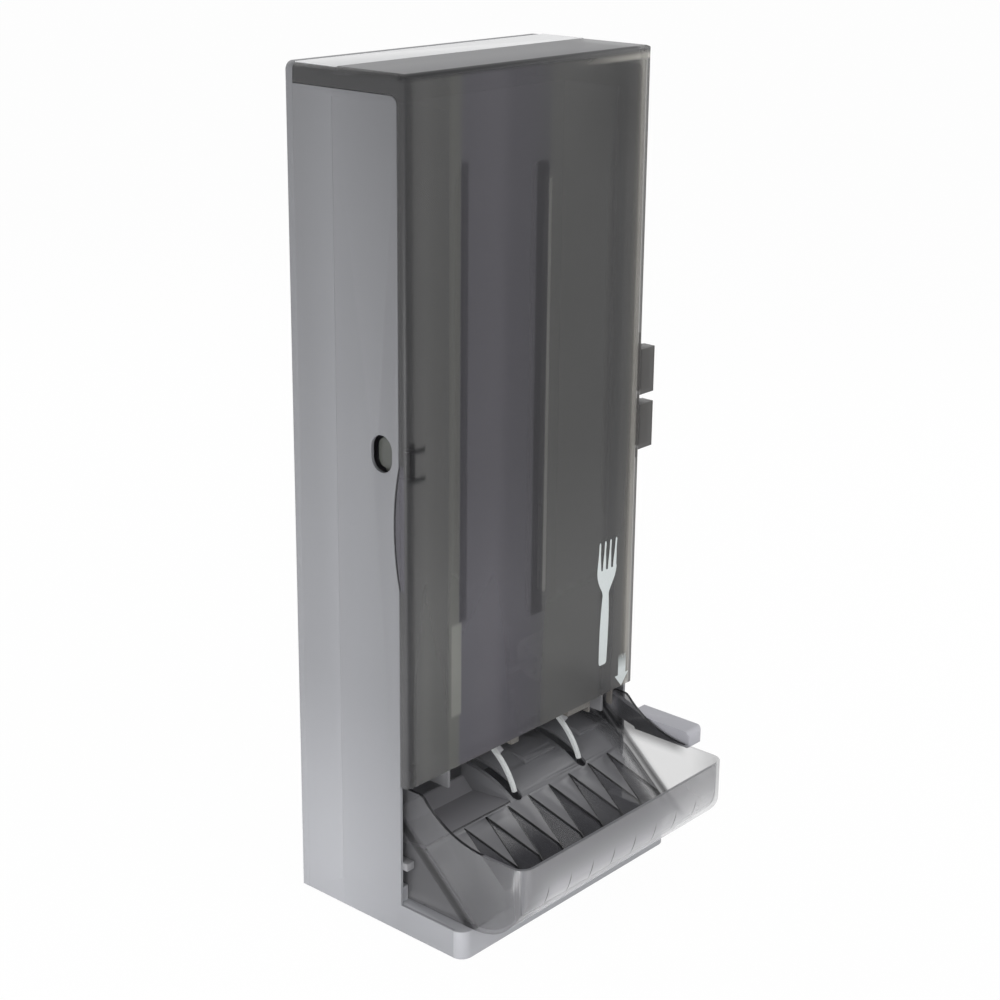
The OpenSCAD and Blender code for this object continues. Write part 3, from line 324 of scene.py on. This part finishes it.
def all_of(tree, *shares):
    """The product of two or more shares: 1 only where all of them are."""
    total = shares[0]
    for share in shares[1:]:
        total = calc(tree, "MULTIPLY", total, share)
    return total


# What shows through the frosted front, across the width in millimetres: an uneven tone, with a painted glow
# of light through the clear right rim near 122 mm
tone_and_rim_glow = tree.nodes.new("ShaderNodeValToRGB")
tone_and_rim_glow.color_ramp.interpolation = "EASE"
stops = (
    (-132, (0.105, 0.105, 0.108)), (-129.5, (0.047, 0.047, 0.050)), (-127, (0.059, 0.059, 0.060)),
    (-122, (0.118, 0.118, 0.118)), (-113, (0.133, 0.133, 0.131)), (-101, (0.118, 0.118, 0.116)),
    (-90, (0.111, 0.111, 0.110)), (-87, (0.140, 0.141, 0.133)), (-79, (0.138, 0.139, 0.131)),
    (-76, (0.115, 0.112, 0.129)), (-40, (0.127, 0.122, 0.140)), (-22, (0.102, 0.098, 0.114)),
    (-2, (0.097, 0.094, 0.108)), (13, (0.095, 0.094, 0.102)), (20, (0.113, 0.113, 0.111)),
    (84, (0.108, 0.108, 0.107)), (89, (0.088, 0.088, 0.089)), (102, (0.088, 0.088, 0.089)),
    (106, (0.113, 0.113, 0.112)), (112, (0.117, 0.116, 0.114)), (117, (0.155, 0.151, 0.140)),
    (121.5, (0.480, 0.463, 0.425)), (124.5, (0.500, 0.483, 0.450)), (126, (0.080, 0.075, 0.072)),
    (132, (0.060, 0.057, 0.055)))
while len(tone_and_rim_glow.color_ramp.elements) < len(stops):
    tone_and_rim_glow.color_ramp.elements.new(0.5)
for element, (across, colour) in zip(tone_and_rim_glow.color_ramp.elements, stops):
    element.position = (across + 132) / 264
    element.color = (*colour, 1)
feed(tree, tone_and_rim_glow.inputs["Fac"], step_up(tree, x, -half_w, half_w, kind="LINEAR"))
tone = tone_and_rim_glow.outputs["Color"]
# The stack ribs' roots, a painted highlight beside the middle one, the lighter strip under the left one, and
# the latch's ears
for low_x, high_x, low_z, high_z, colour in (
        (-0.0775, -0.0700, 0.232, 0.566, (0.060, 0.058, 0.068)),
        (0.0018, 0.0148, 0.2135, 0.5575, (0.044, 0.043, 0.049)),
        (0.0148, 0.0185, 0.230, 0.545, (0.180, 0.180, 0.172)),
        (-0.0860, -0.0755, 0.160, 0.232, (0.225, 0.228, 0.212)),
        (-0.1290, -0.1130, 0.3495, 0.3535, (0.030, 0.030, 0.032)),
        (-0.1290, -0.1130, 0.3705, 0.3745, (0.030, 0.030, 0.032)),
        (-0.1285, -0.1235, 0.3520, 0.3790, (0.012, 0.012, 0.014))):
    bar = all_of(tree, between(tree, x, low_x, high_x, 0.0016), between(tree, z, low_z, high_z, 0.004))
    tone = mixed(tree, bar, tone, colour)
# Darker above the stack's lower third, a painted shade, and darker still in the upper right part
tone = mixed(tree, step_up(tree, z, 0.180, 0.360, 0.0, 0.30), tone, (0.0, 0.0, 0.0))
upper = all_of(tree, step_up(tree, x, 0.030, 0.095, 0.0, 0.36), step_up(tree, x, 0.115, 0.120, 1.0, 0.0),
               step_up(tree, z, 0.520, 0.600))
tone = mixed(tree, upper, tone, (0.0, 0.0, 0.0))
# A painted gleam along the top edge at the right, under the rounded top corner, which gets painted shade
# and, being thick, is denser
painted_gleam = all_of(tree, step_up(tree, z, 0.6185, 0.6212), step_up(tree, z, 0.6212, 0.6275, 1.0, 0.0),
               step_up(tree, x, 0.030, 0.135, 0.0, 0.9))
tone = mixed(tree, painted_gleam, tone, (0.420, 0.405, 0.365))
shaded_corner = all_of(tree, step_up(tree, z, 0.6225, 0.6270), step_up(tree, y, -0.0250, -0.0200, 1.0, 0.0))
tone = mixed(tree, shaded_corner, tone, (0.014, 0.014, 0.016))
# Painted light: the inside of the right side wall glows through the front
painted_glow = all_of(tree, between(tree, x, 0.1285, 0.1305, 0.0006), step_up(tree, y, -0.0272, -0.0264))
tone = mixed(tree, painted_glow, tone, (0.550, 0.530, 0.490))
# The finger pull on the left side wall is lighter, inside a dark edge that follows its arc
pull_y, pull_z, pull_r = -0.2265, 0.3165, 0.2077
reach = calc(tree, "SQRT", calc(tree, "ADD", calc(tree, "POWER", calc(tree, "SUBTRACT", y, pull_y), 2),
                                calc(tree, "POWER", calc(tree, "SUBTRACT", z, pull_z), 2)))
lobe = all_of(tree, step_up(tree, x, -0.1312, -0.1300, 1.0, 0.0), between(tree, z, 0.271, 0.362, 0.004),
              step_up(tree, y, -0.0268, -0.0258))
tone = mixed(tree, lobe, tone, (0.105, 0.102, 0.118))
arc_edge = all_of(tree, lobe, step_up(tree, reach, pull_r, pull_r + 0.0006))
tone = mixed(tree, arc_edge, tone, (0.020, 0.020, 0.022))
tint_by(cover_smoke, tone)
# Clearer along the free right rim, where nothing lies behind it, but not at its rounded edge
rim = between(tree, x, 0.1170, 0.1322, 0.004)
round_edge = all_of(tree, step_up(tree, x, 0.1250, 0.1262), step_up(tree, y, -0.0265, -0.0255, 1.0, 0.0))
dense = calc(tree, "MULTIPLY_ADD", rim, -0.20, 0.68)
dense = calc(tree, "MULTIPLY_ADD", shaded_corner, 0.20, dense)
feed(tree, skin["Alpha"], calc(tree, "MULTIPLY_ADD", round_edge, 0.25, dense))

# The top face alone is painted paler, a painted sheen for the light it looks up at
cover_top_sheen = moulded("cover_top_painted_sheen", (0.20, 0.20, 0.21), rough=(0.34, 0.46), drift_by=0.08,
                    grain_size=3200.0, bump=0.03)
skin_of(cover_top_sheen)["Alpha"].default_value = 0.8
cover = soft_edged("cover", "cover", cover_smoke, 0.0004)
cover.data.materials.append(cover_top_sheen)
for face in cover.data.polygons:
    if face.normal.z > 0.99 and face.center.z > 0.6285:
        face.material_index = 1

# ---------------------------------------------------------------------------
# Latch tongue. A small sprung moulding in the cover's own smoke plastic, which turns on
# a pin in the left wall and shows in the side panel's oval hole.
latch_smoke = moulded("latch_smoke_polycarbonate", (0.064, 0.067, 0.062), rough=(0.24, 0.36))
soft_edged("latch_tongue", "latch", latch_smoke, 0.0004)

# ---------------------------------------------------------------------------
# Pictograms. A fork and a down arrow, pad-printed in pale ink on the cover's front face.
# The arrow's upper end fades out, as the ink thins there.
ink = bpy.data.materials.new("pale_print_ink")
ink.use_nodes = True
skin_of(ink)["Roughness"].default_value = 0.55
feed(ink.node_tree, skin_of(ink)["Base Color"],
     mixed(ink.node_tree, noise(ink.node_tree, 900, 3), (0.52, 0.56, 0.56), (0.64, 0.68, 0.68)))
faded_ink = ink.copy()
faded_ink.name = "pale_print_ink_faded"
tree = faded_ink.node_tree
feed(tree, skin_of(faded_ink)["Alpha"], step_up(tree, axes(tree)[2], 0.147, 0.134, 0.03, 1.0, "LINEAR"))
print_y = -0.02925 - 0.00012
print_depth = 0.00008


def printed(name, rows, mat):
    """A flat print: an edge at each row (left, right, height) drawn up the cover, in millimetres."""
    left, right, height = rows[0]
    bpy.ops.object.select_all(action="DESELECT")
    bpy.ops.mesh.primitive_plane_add(size=0.001, location=((left + right) / 2000, print_y, height / 1000))
    piece = bpy.context.object
    piece.name = name
    bpy.ops.object.mode_set(mode="EDIT")
    bpy.ops.mesh.select_all(action="SELECT")
    bpy.ops.mesh.delete(type="ONLY_FACE")
    bpy.ops.mesh.select_all(action="SELECT")
    bpy.ops.mesh.merge(type="CENTER")
    bpy.ops.object.mode_set(mode="OBJECT")
    bpy.ops.object.transform_apply(location=True, rotation=True, scale=True)
    bpy.ops.object.mode_set(mode="EDIT")
    bpy.ops.mesh.select_all(action="SELECT")
    bpy.ops.mesh.extrude_region_move(TRANSFORM_OT_translate={"value": ((right - left) / 1000, 0, 0)})
    bpy.ops.mesh.select_all(action="SELECT")
    bpy.ops.transform.translate(value=((left - right) / 2000, 0, 0))
    for next_left, next_right, next_height in rows[1:]:
        bpy.ops.mesh.extrude_region_move(TRANSFORM_OT_translate={
            "value": ((next_left + next_right - left - right) / 2000, 0, (next_height - height) / 1000)})
        ratio = max(next_right - next_left, 0.05) / max(right - left, 0.05)
        left, right, height = next_left, next_right, next_height
        bpy.ops.transform.resize(value=(ratio, 1, 1),
                                 center_override=((left + right) / 2000, print_y, height / 1000))
    bpy.ops.mesh.select_all(action="SELECT")
    bpy.ops.mesh.normals_make_consistent(inside=False)
    bpy.ops.mesh.extrude_region_move(TRANSFORM_OT_translate={"value": (0, print_depth, 0)})
    bpy.ops.mesh.select_all(action="SELECT")
    bpy.ops.mesh.normals_make_consistent(inside=False)
    bpy.ops.object.mode_set(mode="OBJECT")
    piece.data.materials.append(mat)
    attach(piece, "cover")
    return piece


printed("fork_print_handle", (
    (88.6, 93.2, 144.9), (87.4, 94.8, 145.2), (86.6, 95.4, 146.0), (86.2, 95.9, 148.0),
    (86.2, 96.6, 161.8), (86.7, 97.2, 178.0), (87.5, 97.3, 189.3), (88.6, 96.9, 200.0),
    (89.2, 96.6, 204.5), (88.6, 97.4, 207.0), (87.2, 98.9, 209.6), (85.1, 101.1, 213.2),
    (83.3, 103.5, 217.0), (82.2, 104.9, 220.8), (81.8, 105.6, 224.0), (81.7, 105.8, 225.6)), ink)
root = 225.6
for number, (left, right, tip) in enumerate((
        (81.7, 86.9, 84.6), (88.4, 92.8, 91.3), (94.8, 99.3, 97.8), (101.2, 105.8, 104.8))):
    to_left, to_right = tip - left, right - tip
    printed("fork_print_tine_%d" % (number + 1), (
        (left, right, root), (left + 0.05, right - 0.55, root + 1.4),
        (left + to_left * 0.2, right - to_right * 0.42, root + 7),
        (left + to_left * 0.55, right - to_right * 0.62, root + 15), (tip - 0.95, tip + 0.95, root + 22.4),
        (tip - 0.6, tip + 0.6, root + 23.6), (tip - 0.15, tip + 0.15, root + 24.1)), ink)
printed("arrow_print", (
    (116.1, 116.3, 118.9), (107.7, 125.2, 129.0), (111.8, 121.5, 129.05), (111.8, 121.5, 135.0),
    (111.8, 121.5, 141.0), (111.8, 121.5, 147.0)), faded_ink)

# ---------------------------------------------------------------------------
# Catch tray. A smoke moulding, clearer than the cover, that slides out on the foot: a
# bowed front, a pleated ramp with sunk triangles, a shallow pocket at the left and a
# slot for each finger.
tray_smoke = moulded("tray_smoke_polycarbonate", rough=(0.16, 0.26), drift_by=0.06,
                     grain_size=1800.0, bump=0.02)
skin = skin_of(tray_smoke)
skin["IOR"].default_value = 1.5
tree = tray_smoke.node_tree
x, y, z = axes(tree)
# Painted shade darkens the left wall, and painted light from the floor below makes the bowed foot of the
# front wall paler
left_wall = step_up(tree, x, -0.1188, -0.1180, 1.0, 0.0)
tone = mixed(tree, left_wall, (0.250, 0.250, 0.262), (0.140, 0.140, 0.148))
front_wall = step_up(tree, y, -0.1290, -0.0950, 1.0, 0.0)
bow = all_of(tree, front_wall, step_up(tree, z, 0.030, 0.082, 1.0, 0.0), step_up(tree, x, -0.1180, -0.0800))
tone = mixed(tree, bow, tone, (0.740, 0.740, 0.765))
# Short strokes on the front wall, one at the foot of each pleat
stroke_pitch = 0.0252
first_stroke = -0.0300 - 10 * stroke_pitch
along = calc(tree, "FRACT", calc(tree, "DIVIDE", calc(tree, "SUBTRACT", x, first_stroke), stroke_pitch))
stroke = all_of(tree, between(tree, along, 0.48, 0.52, 0.03), between(tree, z, 0.047, 0.062, 0.008),
                step_up(tree, y, -0.1285, -0.1200, 1.0, 0.0))
tone = mixed(tree, stroke, tone, (0.040, 0.040, 0.045))
# The ramp's root in the side walls: a dark band that slopes with it
off_root = calc(tree, "ADD", calc(tree, "MULTIPLY", calc(tree, "ADD", y, 0.047), -0.660),
                calc(tree, "MULTIPLY", calc(tree, "SUBTRACT", z, 0.0522), 0.751))
behind_bow = step_up(tree, y, -0.108, -0.085)
root = all_of(tree, step_up(tree, calc(tree, "ABSOLUTE", x), 0.1184, 0.1188), behind_bow,
              between(tree, off_root, -0.0040, 0.0036, 0.0030))
tone = mixed(tree, root, tone, (0.030, 0.030, 0.032))
# Painted shade on the right wall where the lever's arm lies behind it, which is also denser there
right_wall = step_up(tree, x, 0.1184, 0.1188)
shade = all_of(tree, right_wall, between(tree, y, -0.088, -0.020, 0.016), step_up(tree, z, 0.072, 0.084))
tone = mixed(tree, shade, tone, (0.030, 0.030, 0.032))
# On the inside of the right wall a painted shadow of the root lies above the ramp, and the rest is clear
above = all_of(tree, right_wall, between(tree, off_root, 0.0050, 0.0095, 0.0030), behind_bow)
tone = mixed(tree, above, tone, (0.020, 0.020, 0.022))
clear_wall = all_of(tree, right_wall, step_up(tree, off_root, 0.0100, 0.0140))
tint_by(tray_smoke, tone)
# The front wall is frosted, so it is denser than the rest
frosted = all_of(tree, front_wall, step_up(tree, z, 0.026, 0.040), step_up(tree, x, 0.060, 0.110, 1.0, 0.45))
dense = 0.27
for share, more in ((frosted, 0.36), (left_wall, 0.14), (above, 0.45), (clear_wall, -0.10),
                    (stroke, 0.30), (root, 0.35), (shade, 0.33)):
    dense = calc(tree, "MULTIPLY_ADD", share, more, dense)
feed(tree, skin["Alpha"], dense)

# The ramp is textured and denser: sunk wedges with painted shade along their edges, measured up its slope
ramp_smoke = moulded("tray_ramp_smoke", rough=(0.26, 0.36), drift_by=0.08, grain_size=1800.0, bump=0.02)
skin = skin_of(ramp_smoke)
skin["IOR"].default_value = 1.5
skin["Specular IOR Level"].default_value = 0.35
tree = ramp_smoke.node_tree
x, y, z = axes(tree)
wedge_pitch = 0.0244
wedge_base = 0.94 * wedge_pitch
wedge_tip = 0.0670
from_left = calc(tree, "DIVIDE", calc(tree, "ADD", x, 0.0785), wedge_pitch)
from_left = calc(tree, "MULTIPLY", calc(tree, "FRACT", from_left), wedge_pitch)
up_slope = calc(tree, "ADD", calc(tree, "MULTIPLY", calc(tree, "ADD", y, 0.0860), 0.7490),
                calc(tree, "MULTIPLY", calc(tree, "SUBTRACT", z, 0.0250), 0.6626))
slant = calc(tree, "MULTIPLY", calc(tree, "SUBTRACT", wedge_tip, up_slope),
             wedge_base / (wedge_tip - 0.9 * wedge_pitch))
slant = calc(tree, "MINIMUM", slant, wedge_base)
in_field = all_of(tree, between(tree, x, -0.0790, 0.1165, 0.0004),
                  between(tree, y, -0.0860, -0.0350, 0.0004), calc(tree, "GREATER_THAN", up_slope, 0.0118))
inside = all_of(tree, in_field, calc(tree, "LESS_THAN", from_left, slant))
to_slant = calc(tree, "ABSOLUTE", calc(tree, "SUBTRACT", from_left, slant))
to_right = calc(tree, "MULTIPLY", calc(tree, "SUBTRACT", wedge_pitch, from_left), 0.6)
gap = calc(tree, "MINIMUM", calc(tree, "MINIMUM", to_slant, from_left), to_right)
sunk_edge_shade = all_of(tree, in_field, step_up(tree, gap, 0.0004, 0.0010, 1.0, 0.0),
                 calc(tree, "LESS_THAN", up_slope, wedge_tip))
# Both tones are partly the ramp's own smoke and partly painted shade of the hollow under it, darker than the
# walls
tone = mixed(tree, inside, (0.190, 0.191, 0.203), (0.058, 0.058, 0.066))
# The pocket is a little paler, behind painted shade along its front edge
left_part = step_up(tree, x, -0.0250, -0.0240, 1.0, 0.0)
pocket = all_of(tree, left_part, step_up(tree, y, -0.0345, -0.0335))
tone = mixed(tree, pocket, tone, (0.270, 0.267, 0.285))
pocket_edge = all_of(tree, left_part, between(tree, y, -0.0348, -0.0334, 0.0006))
sunk_edge_shade = calc(tree, "MAXIMUM", sunk_edge_shade, pocket_edge)
tone = mixed(tree, sunk_edge_shade, tone, (0.002, 0.002, 0.003))
tint_by(ramp_smoke, tone)
# A fine woven texture in the wedges
weave = tree.nodes.new("ShaderNodeTexVoronoi")
weave.inputs["Scale"].default_value = 800
feed(tree, weave.inputs["Vector"], tree.nodes.new("ShaderNodeTexCoord").outputs["Object"])
woven = calc(tree, "MULTIPLY", calc(tree, "MULTIPLY", weave.outputs["Distance"], inside), 0.02)
feed(tree, tree.nodes["relief"].inputs["Height"],
     calc(tree, "ADD", tree.nodes["grain"].outputs["Height"], woven))
# It clears at its right end, past the foot, where light comes up through it
clear_end = all_of(tree, step_up(tree, x, 0.098, 0.112), calc(tree, "SUBTRACT", 1.0, sunk_edge_shade))
feed(tree, skin["Alpha"], calc(tree, "MULTIPLY_ADD", clear_end, -0.42, 0.74))

rim_smoke = moulded("tray_rim_smoke", (0.02, 0.02, 0.022), rough=(0.26, 0.36))
skin_of(rim_smoke)["Specular IOR Level"].default_value = 0.12
tray = soft_edged("tray", "tray", tray_smoke, 0.0003)
tray.data.materials.append(ramp_smoke)
tray.data.materials.append(rim_smoke)
# The ramp is what lies inside the side walls and the bow, and the rim what faces up
bow_y, bow_z, bow_inner = -0.0850, 0.0685, 0.0433
for face in tray.data.polygons:
    spot = face.center
    in_bow = spot.y < bow_y and spot.z < bow_z
    forward = math.hypot(spot.y - bow_y, spot.z - bow_z) if in_bow else bow_y - spot.y
    if abs(spot.x) < 0.1187 and forward < bow_inner:
        face.material_index = 1
    elif face.normal.z > 0.35 and spot.z > 0.08:
        face.material_index = 2

# ---------------------------------------------------------------------------
# Lever. A thick satin moulding in a cooler grey, keyed to its shaft outside the tray
# and pressed down by hand, so its edges are well rounded.
lever_grey = moulded("lever_grey_moulding", (0.43, 0.43, 0.465), drift_by=0.04)
soft_edged("lever", "lever", lever_grey, 0.0030, segments=5)

# ---------------------------------------------------------------------------
# Guide fingers, clips, catches and front bar. The fingers are clear bent strips that
# lead the cutlery down to the tray, held by grey clips; the bar with its prongs spans
# the front, and the two catches hold the tray.
finger_clear = moulded("finger_clear_acrylic", (0.80, 0.82, 0.82), rough=(0.10, 0.2), drift_by=0.04)
skin_of(finger_clear)["Alpha"].default_value = 0.66
inner_grey = moulded("inner_grey_moulding", (0.38, 0.38, 0.40), drift_by=0.06)
dark_grey = moulded("dark_grey_moulding", (0.22, 0.22, 0.23), drift_by=0.06)
# The front bar is painted darker, for the shade it stands in
shaded_bar_grey = moulded("front_crossbar_moulding", (0.150, 0.142, 0.132), rough=(0.22, 0.34))
for node, slot, mat in (("guide_finger_left", "finger_clear", finger_clear),
                        ("guide_finger_right", "finger_clear", finger_clear),
                        ("finger_clips", "inner_grey", inner_grey),
                        ("tray_catches", "inner_grey", dark_grey),
                        ("front_crossbar", "inner_grey", shaded_bar_grey)):
    soft_edged(node, "housing", mat, 0.0003)

# ---------------------------------------------------------------------------
# Hinge. A moulded bracket with two eyes, screwed to the right side panel, in which the
# cover's knuckles turn on pins.
soft_edged("hinge_bracket", "housing", housing_grey, 0.0003)

# ---------------------------------------------------------------------------
# Pins, shafts and spring. Turned steel, bright with fine tool marks: the hinge and latch
# pins, the rotor and lever shafts, and the lever's return spring.
steel = bpy.data.materials.new("turned_steel")
steel.use_nodes = True
skin_of(steel)["Metallic"].default_value = 1.0
tree = steel.node_tree
tool_marks = noise(tree, 1500, 4)
feed(tree, skin_of(steel)["Roughness"], step_up(tree, tool_marks, 0.0, 1.0, 0.22, 0.42, "LINEAR"))
feed(tree, skin_of(steel)["Base Color"], mixed(tree, tool_marks, (0.50, 0.51, 0.53), (0.66, 0.67, 0.69)))
for node, body in (("hinge_pin_upper", "housing"), ("hinge_pin_lower", "housing"),
                   ("latch_pin", "cover"), ("rotor_shaft", "rotor"), ("lever_shaft", "lever"),
                   ("return_spring", "housing")):
    soft_edged(node, body, steel, 0.0002)


# ---------------------------------------------------------------------------
# Screws. Zinc-plated pan heads with a cross recess, driven into the hinge bracket, the
# back plate and the mechanism frames.
def cross_recess(piece, heads, facing):
    """Sinks a cross into each head, which is the middle of its face in millimetres."""
    arm_width, arm_length, stretch = 0.0008, 0.0013, 2.6
    arms = [Vector(way) for way in ((1, 0, 0), (-1, 0, 0), (0, 1, 0), (0, -1, 0), (0, 0, 1), (0, 0, -1))
            if abs(Vector(way).dot(facing)) < 0.5]
    for head in heads:
        middle = Vector(head) / 1000
        bpy.ops.object.select_all(action="DESELECT")
        bpy.ops.mesh.primitive_cube_add(size=arm_width, location=middle)
        cutter = bpy.context.object
        bpy.ops.object.transform_apply(location=True, rotation=True, scale=True)
        for arm in arms:
            bpy.ops.object.mode_set(mode="EDIT")
            bpy.ops.mesh.select_mode(type="FACE")
            bpy.ops.mesh.select_all(action="DESELECT")
            bpy.ops.object.mode_set(mode="OBJECT")
            for face in cutter.data.polygons:
                off_axis = (face.center - middle).cross(arm).length
                face.select = face.normal.dot(arm) > 0.99 and off_axis < 0.0001
            bpy.ops.object.mode_set(mode="EDIT")
            bpy.ops.mesh.extrude_region_move(TRANSFORM_OT_translate={"value": arm * arm_length})
            bpy.ops.object.mode_set(mode="OBJECT")
        bpy.ops.object.mode_set(mode="EDIT")
        bpy.ops.mesh.select_all(action="SELECT")
        deeper = [stretch if abs(part) > 0.5 else 1 for part in facing]
        bpy.ops.transform.resize(value=deeper, center_override=middle)
        bpy.ops.mesh.normals_make_consistent(inside=False)
        bpy.ops.object.mode_set(mode="OBJECT")
        bpy.ops.object.select_all(action="DESELECT")
        bpy.context.view_layer.objects.active = piece
        piece.select_set(True)
        cut = piece.modifiers.new("cross_recess", "BOOLEAN")
        cut.operation = "DIFFERENCE"
        cut.solver = "EXACT"
        cut.object = cutter
        bpy.ops.object.modifier_apply(modifier="cross_recess")
        bpy.data.objects.remove(cutter)


hinge_heads = [(136.0, 4.0, high) for high in (333.75, 378.25)]
back_heads = [(side * 124.6, 83.05, high) for side in (-1, 1) for high in (59.75, 314.5, 583.7)]
frame_heads = [(across, 75.95, high) for across in (-83.0, 113.0) for high in (105.6, 164.4)]
for node, heads, facing in (("hinge_screws", hinge_heads, Vector((1, 0, 0))),
                            ("back_plate_screws", back_heads, Vector((0, 1, 0))),
                            ("frame_screws", frame_heads, Vector((0, -1, 0)))):
    cross_recess(soft_edged(node, "housing", steel, 0.0002), heads, facing)

# ---------------------------------------------------------------------------
# Magazine. Plain inner mouldings that stand behind the cover: two walls, a back and a
# chute plate in mid grey, between darker mechanism frames.
for node, mat in (("magazine_wall_left", inner_grey), ("magazine_wall_right", inner_grey),
                  ("magazine_back_wall", inner_grey), ("chute_plate", inner_grey),
                  ("mech_frame_left", dark_grey), ("mech_frame_right", dark_grey)):
    soft_edged(node, "housing", mat, 0.0003)

# ---------------------------------------------------------------------------
# Rotors, gears and bushings. Natural acetal, which runs dry on steel: two pocket rotors
# and the pinion on the rotor shaft, the sector gear on the lever's, and plain bushings.
acetal = moulded("natural_acetal", (0.72, 0.72, 0.68), drift_by=0.03)
for node, body in (("rotor_left", "rotor"), ("rotor_right", "rotor"), ("pinion_gear", "rotor"),
                   ("sector_gear", "lever"), ("rotor_bushings", "housing"), ("lever_bushings", "housing")):
    soft_edged(node, body, acetal, 0.0002)

# ---------------------------------------------------------------------------
# Rubber feet. Four matt pads pressed into the foot's bosses, which keep the dispenser
# from sliding on a counter.
rubber = moulded("matt_rubber", (0.03, 0.03, 0.03), rough=(0.7, 0.85), drift_by=0.1,
                 grain_size=1500.0, bump=0.2)
soft_edged("rubber_feet", "housing", rubber, 0.0004)
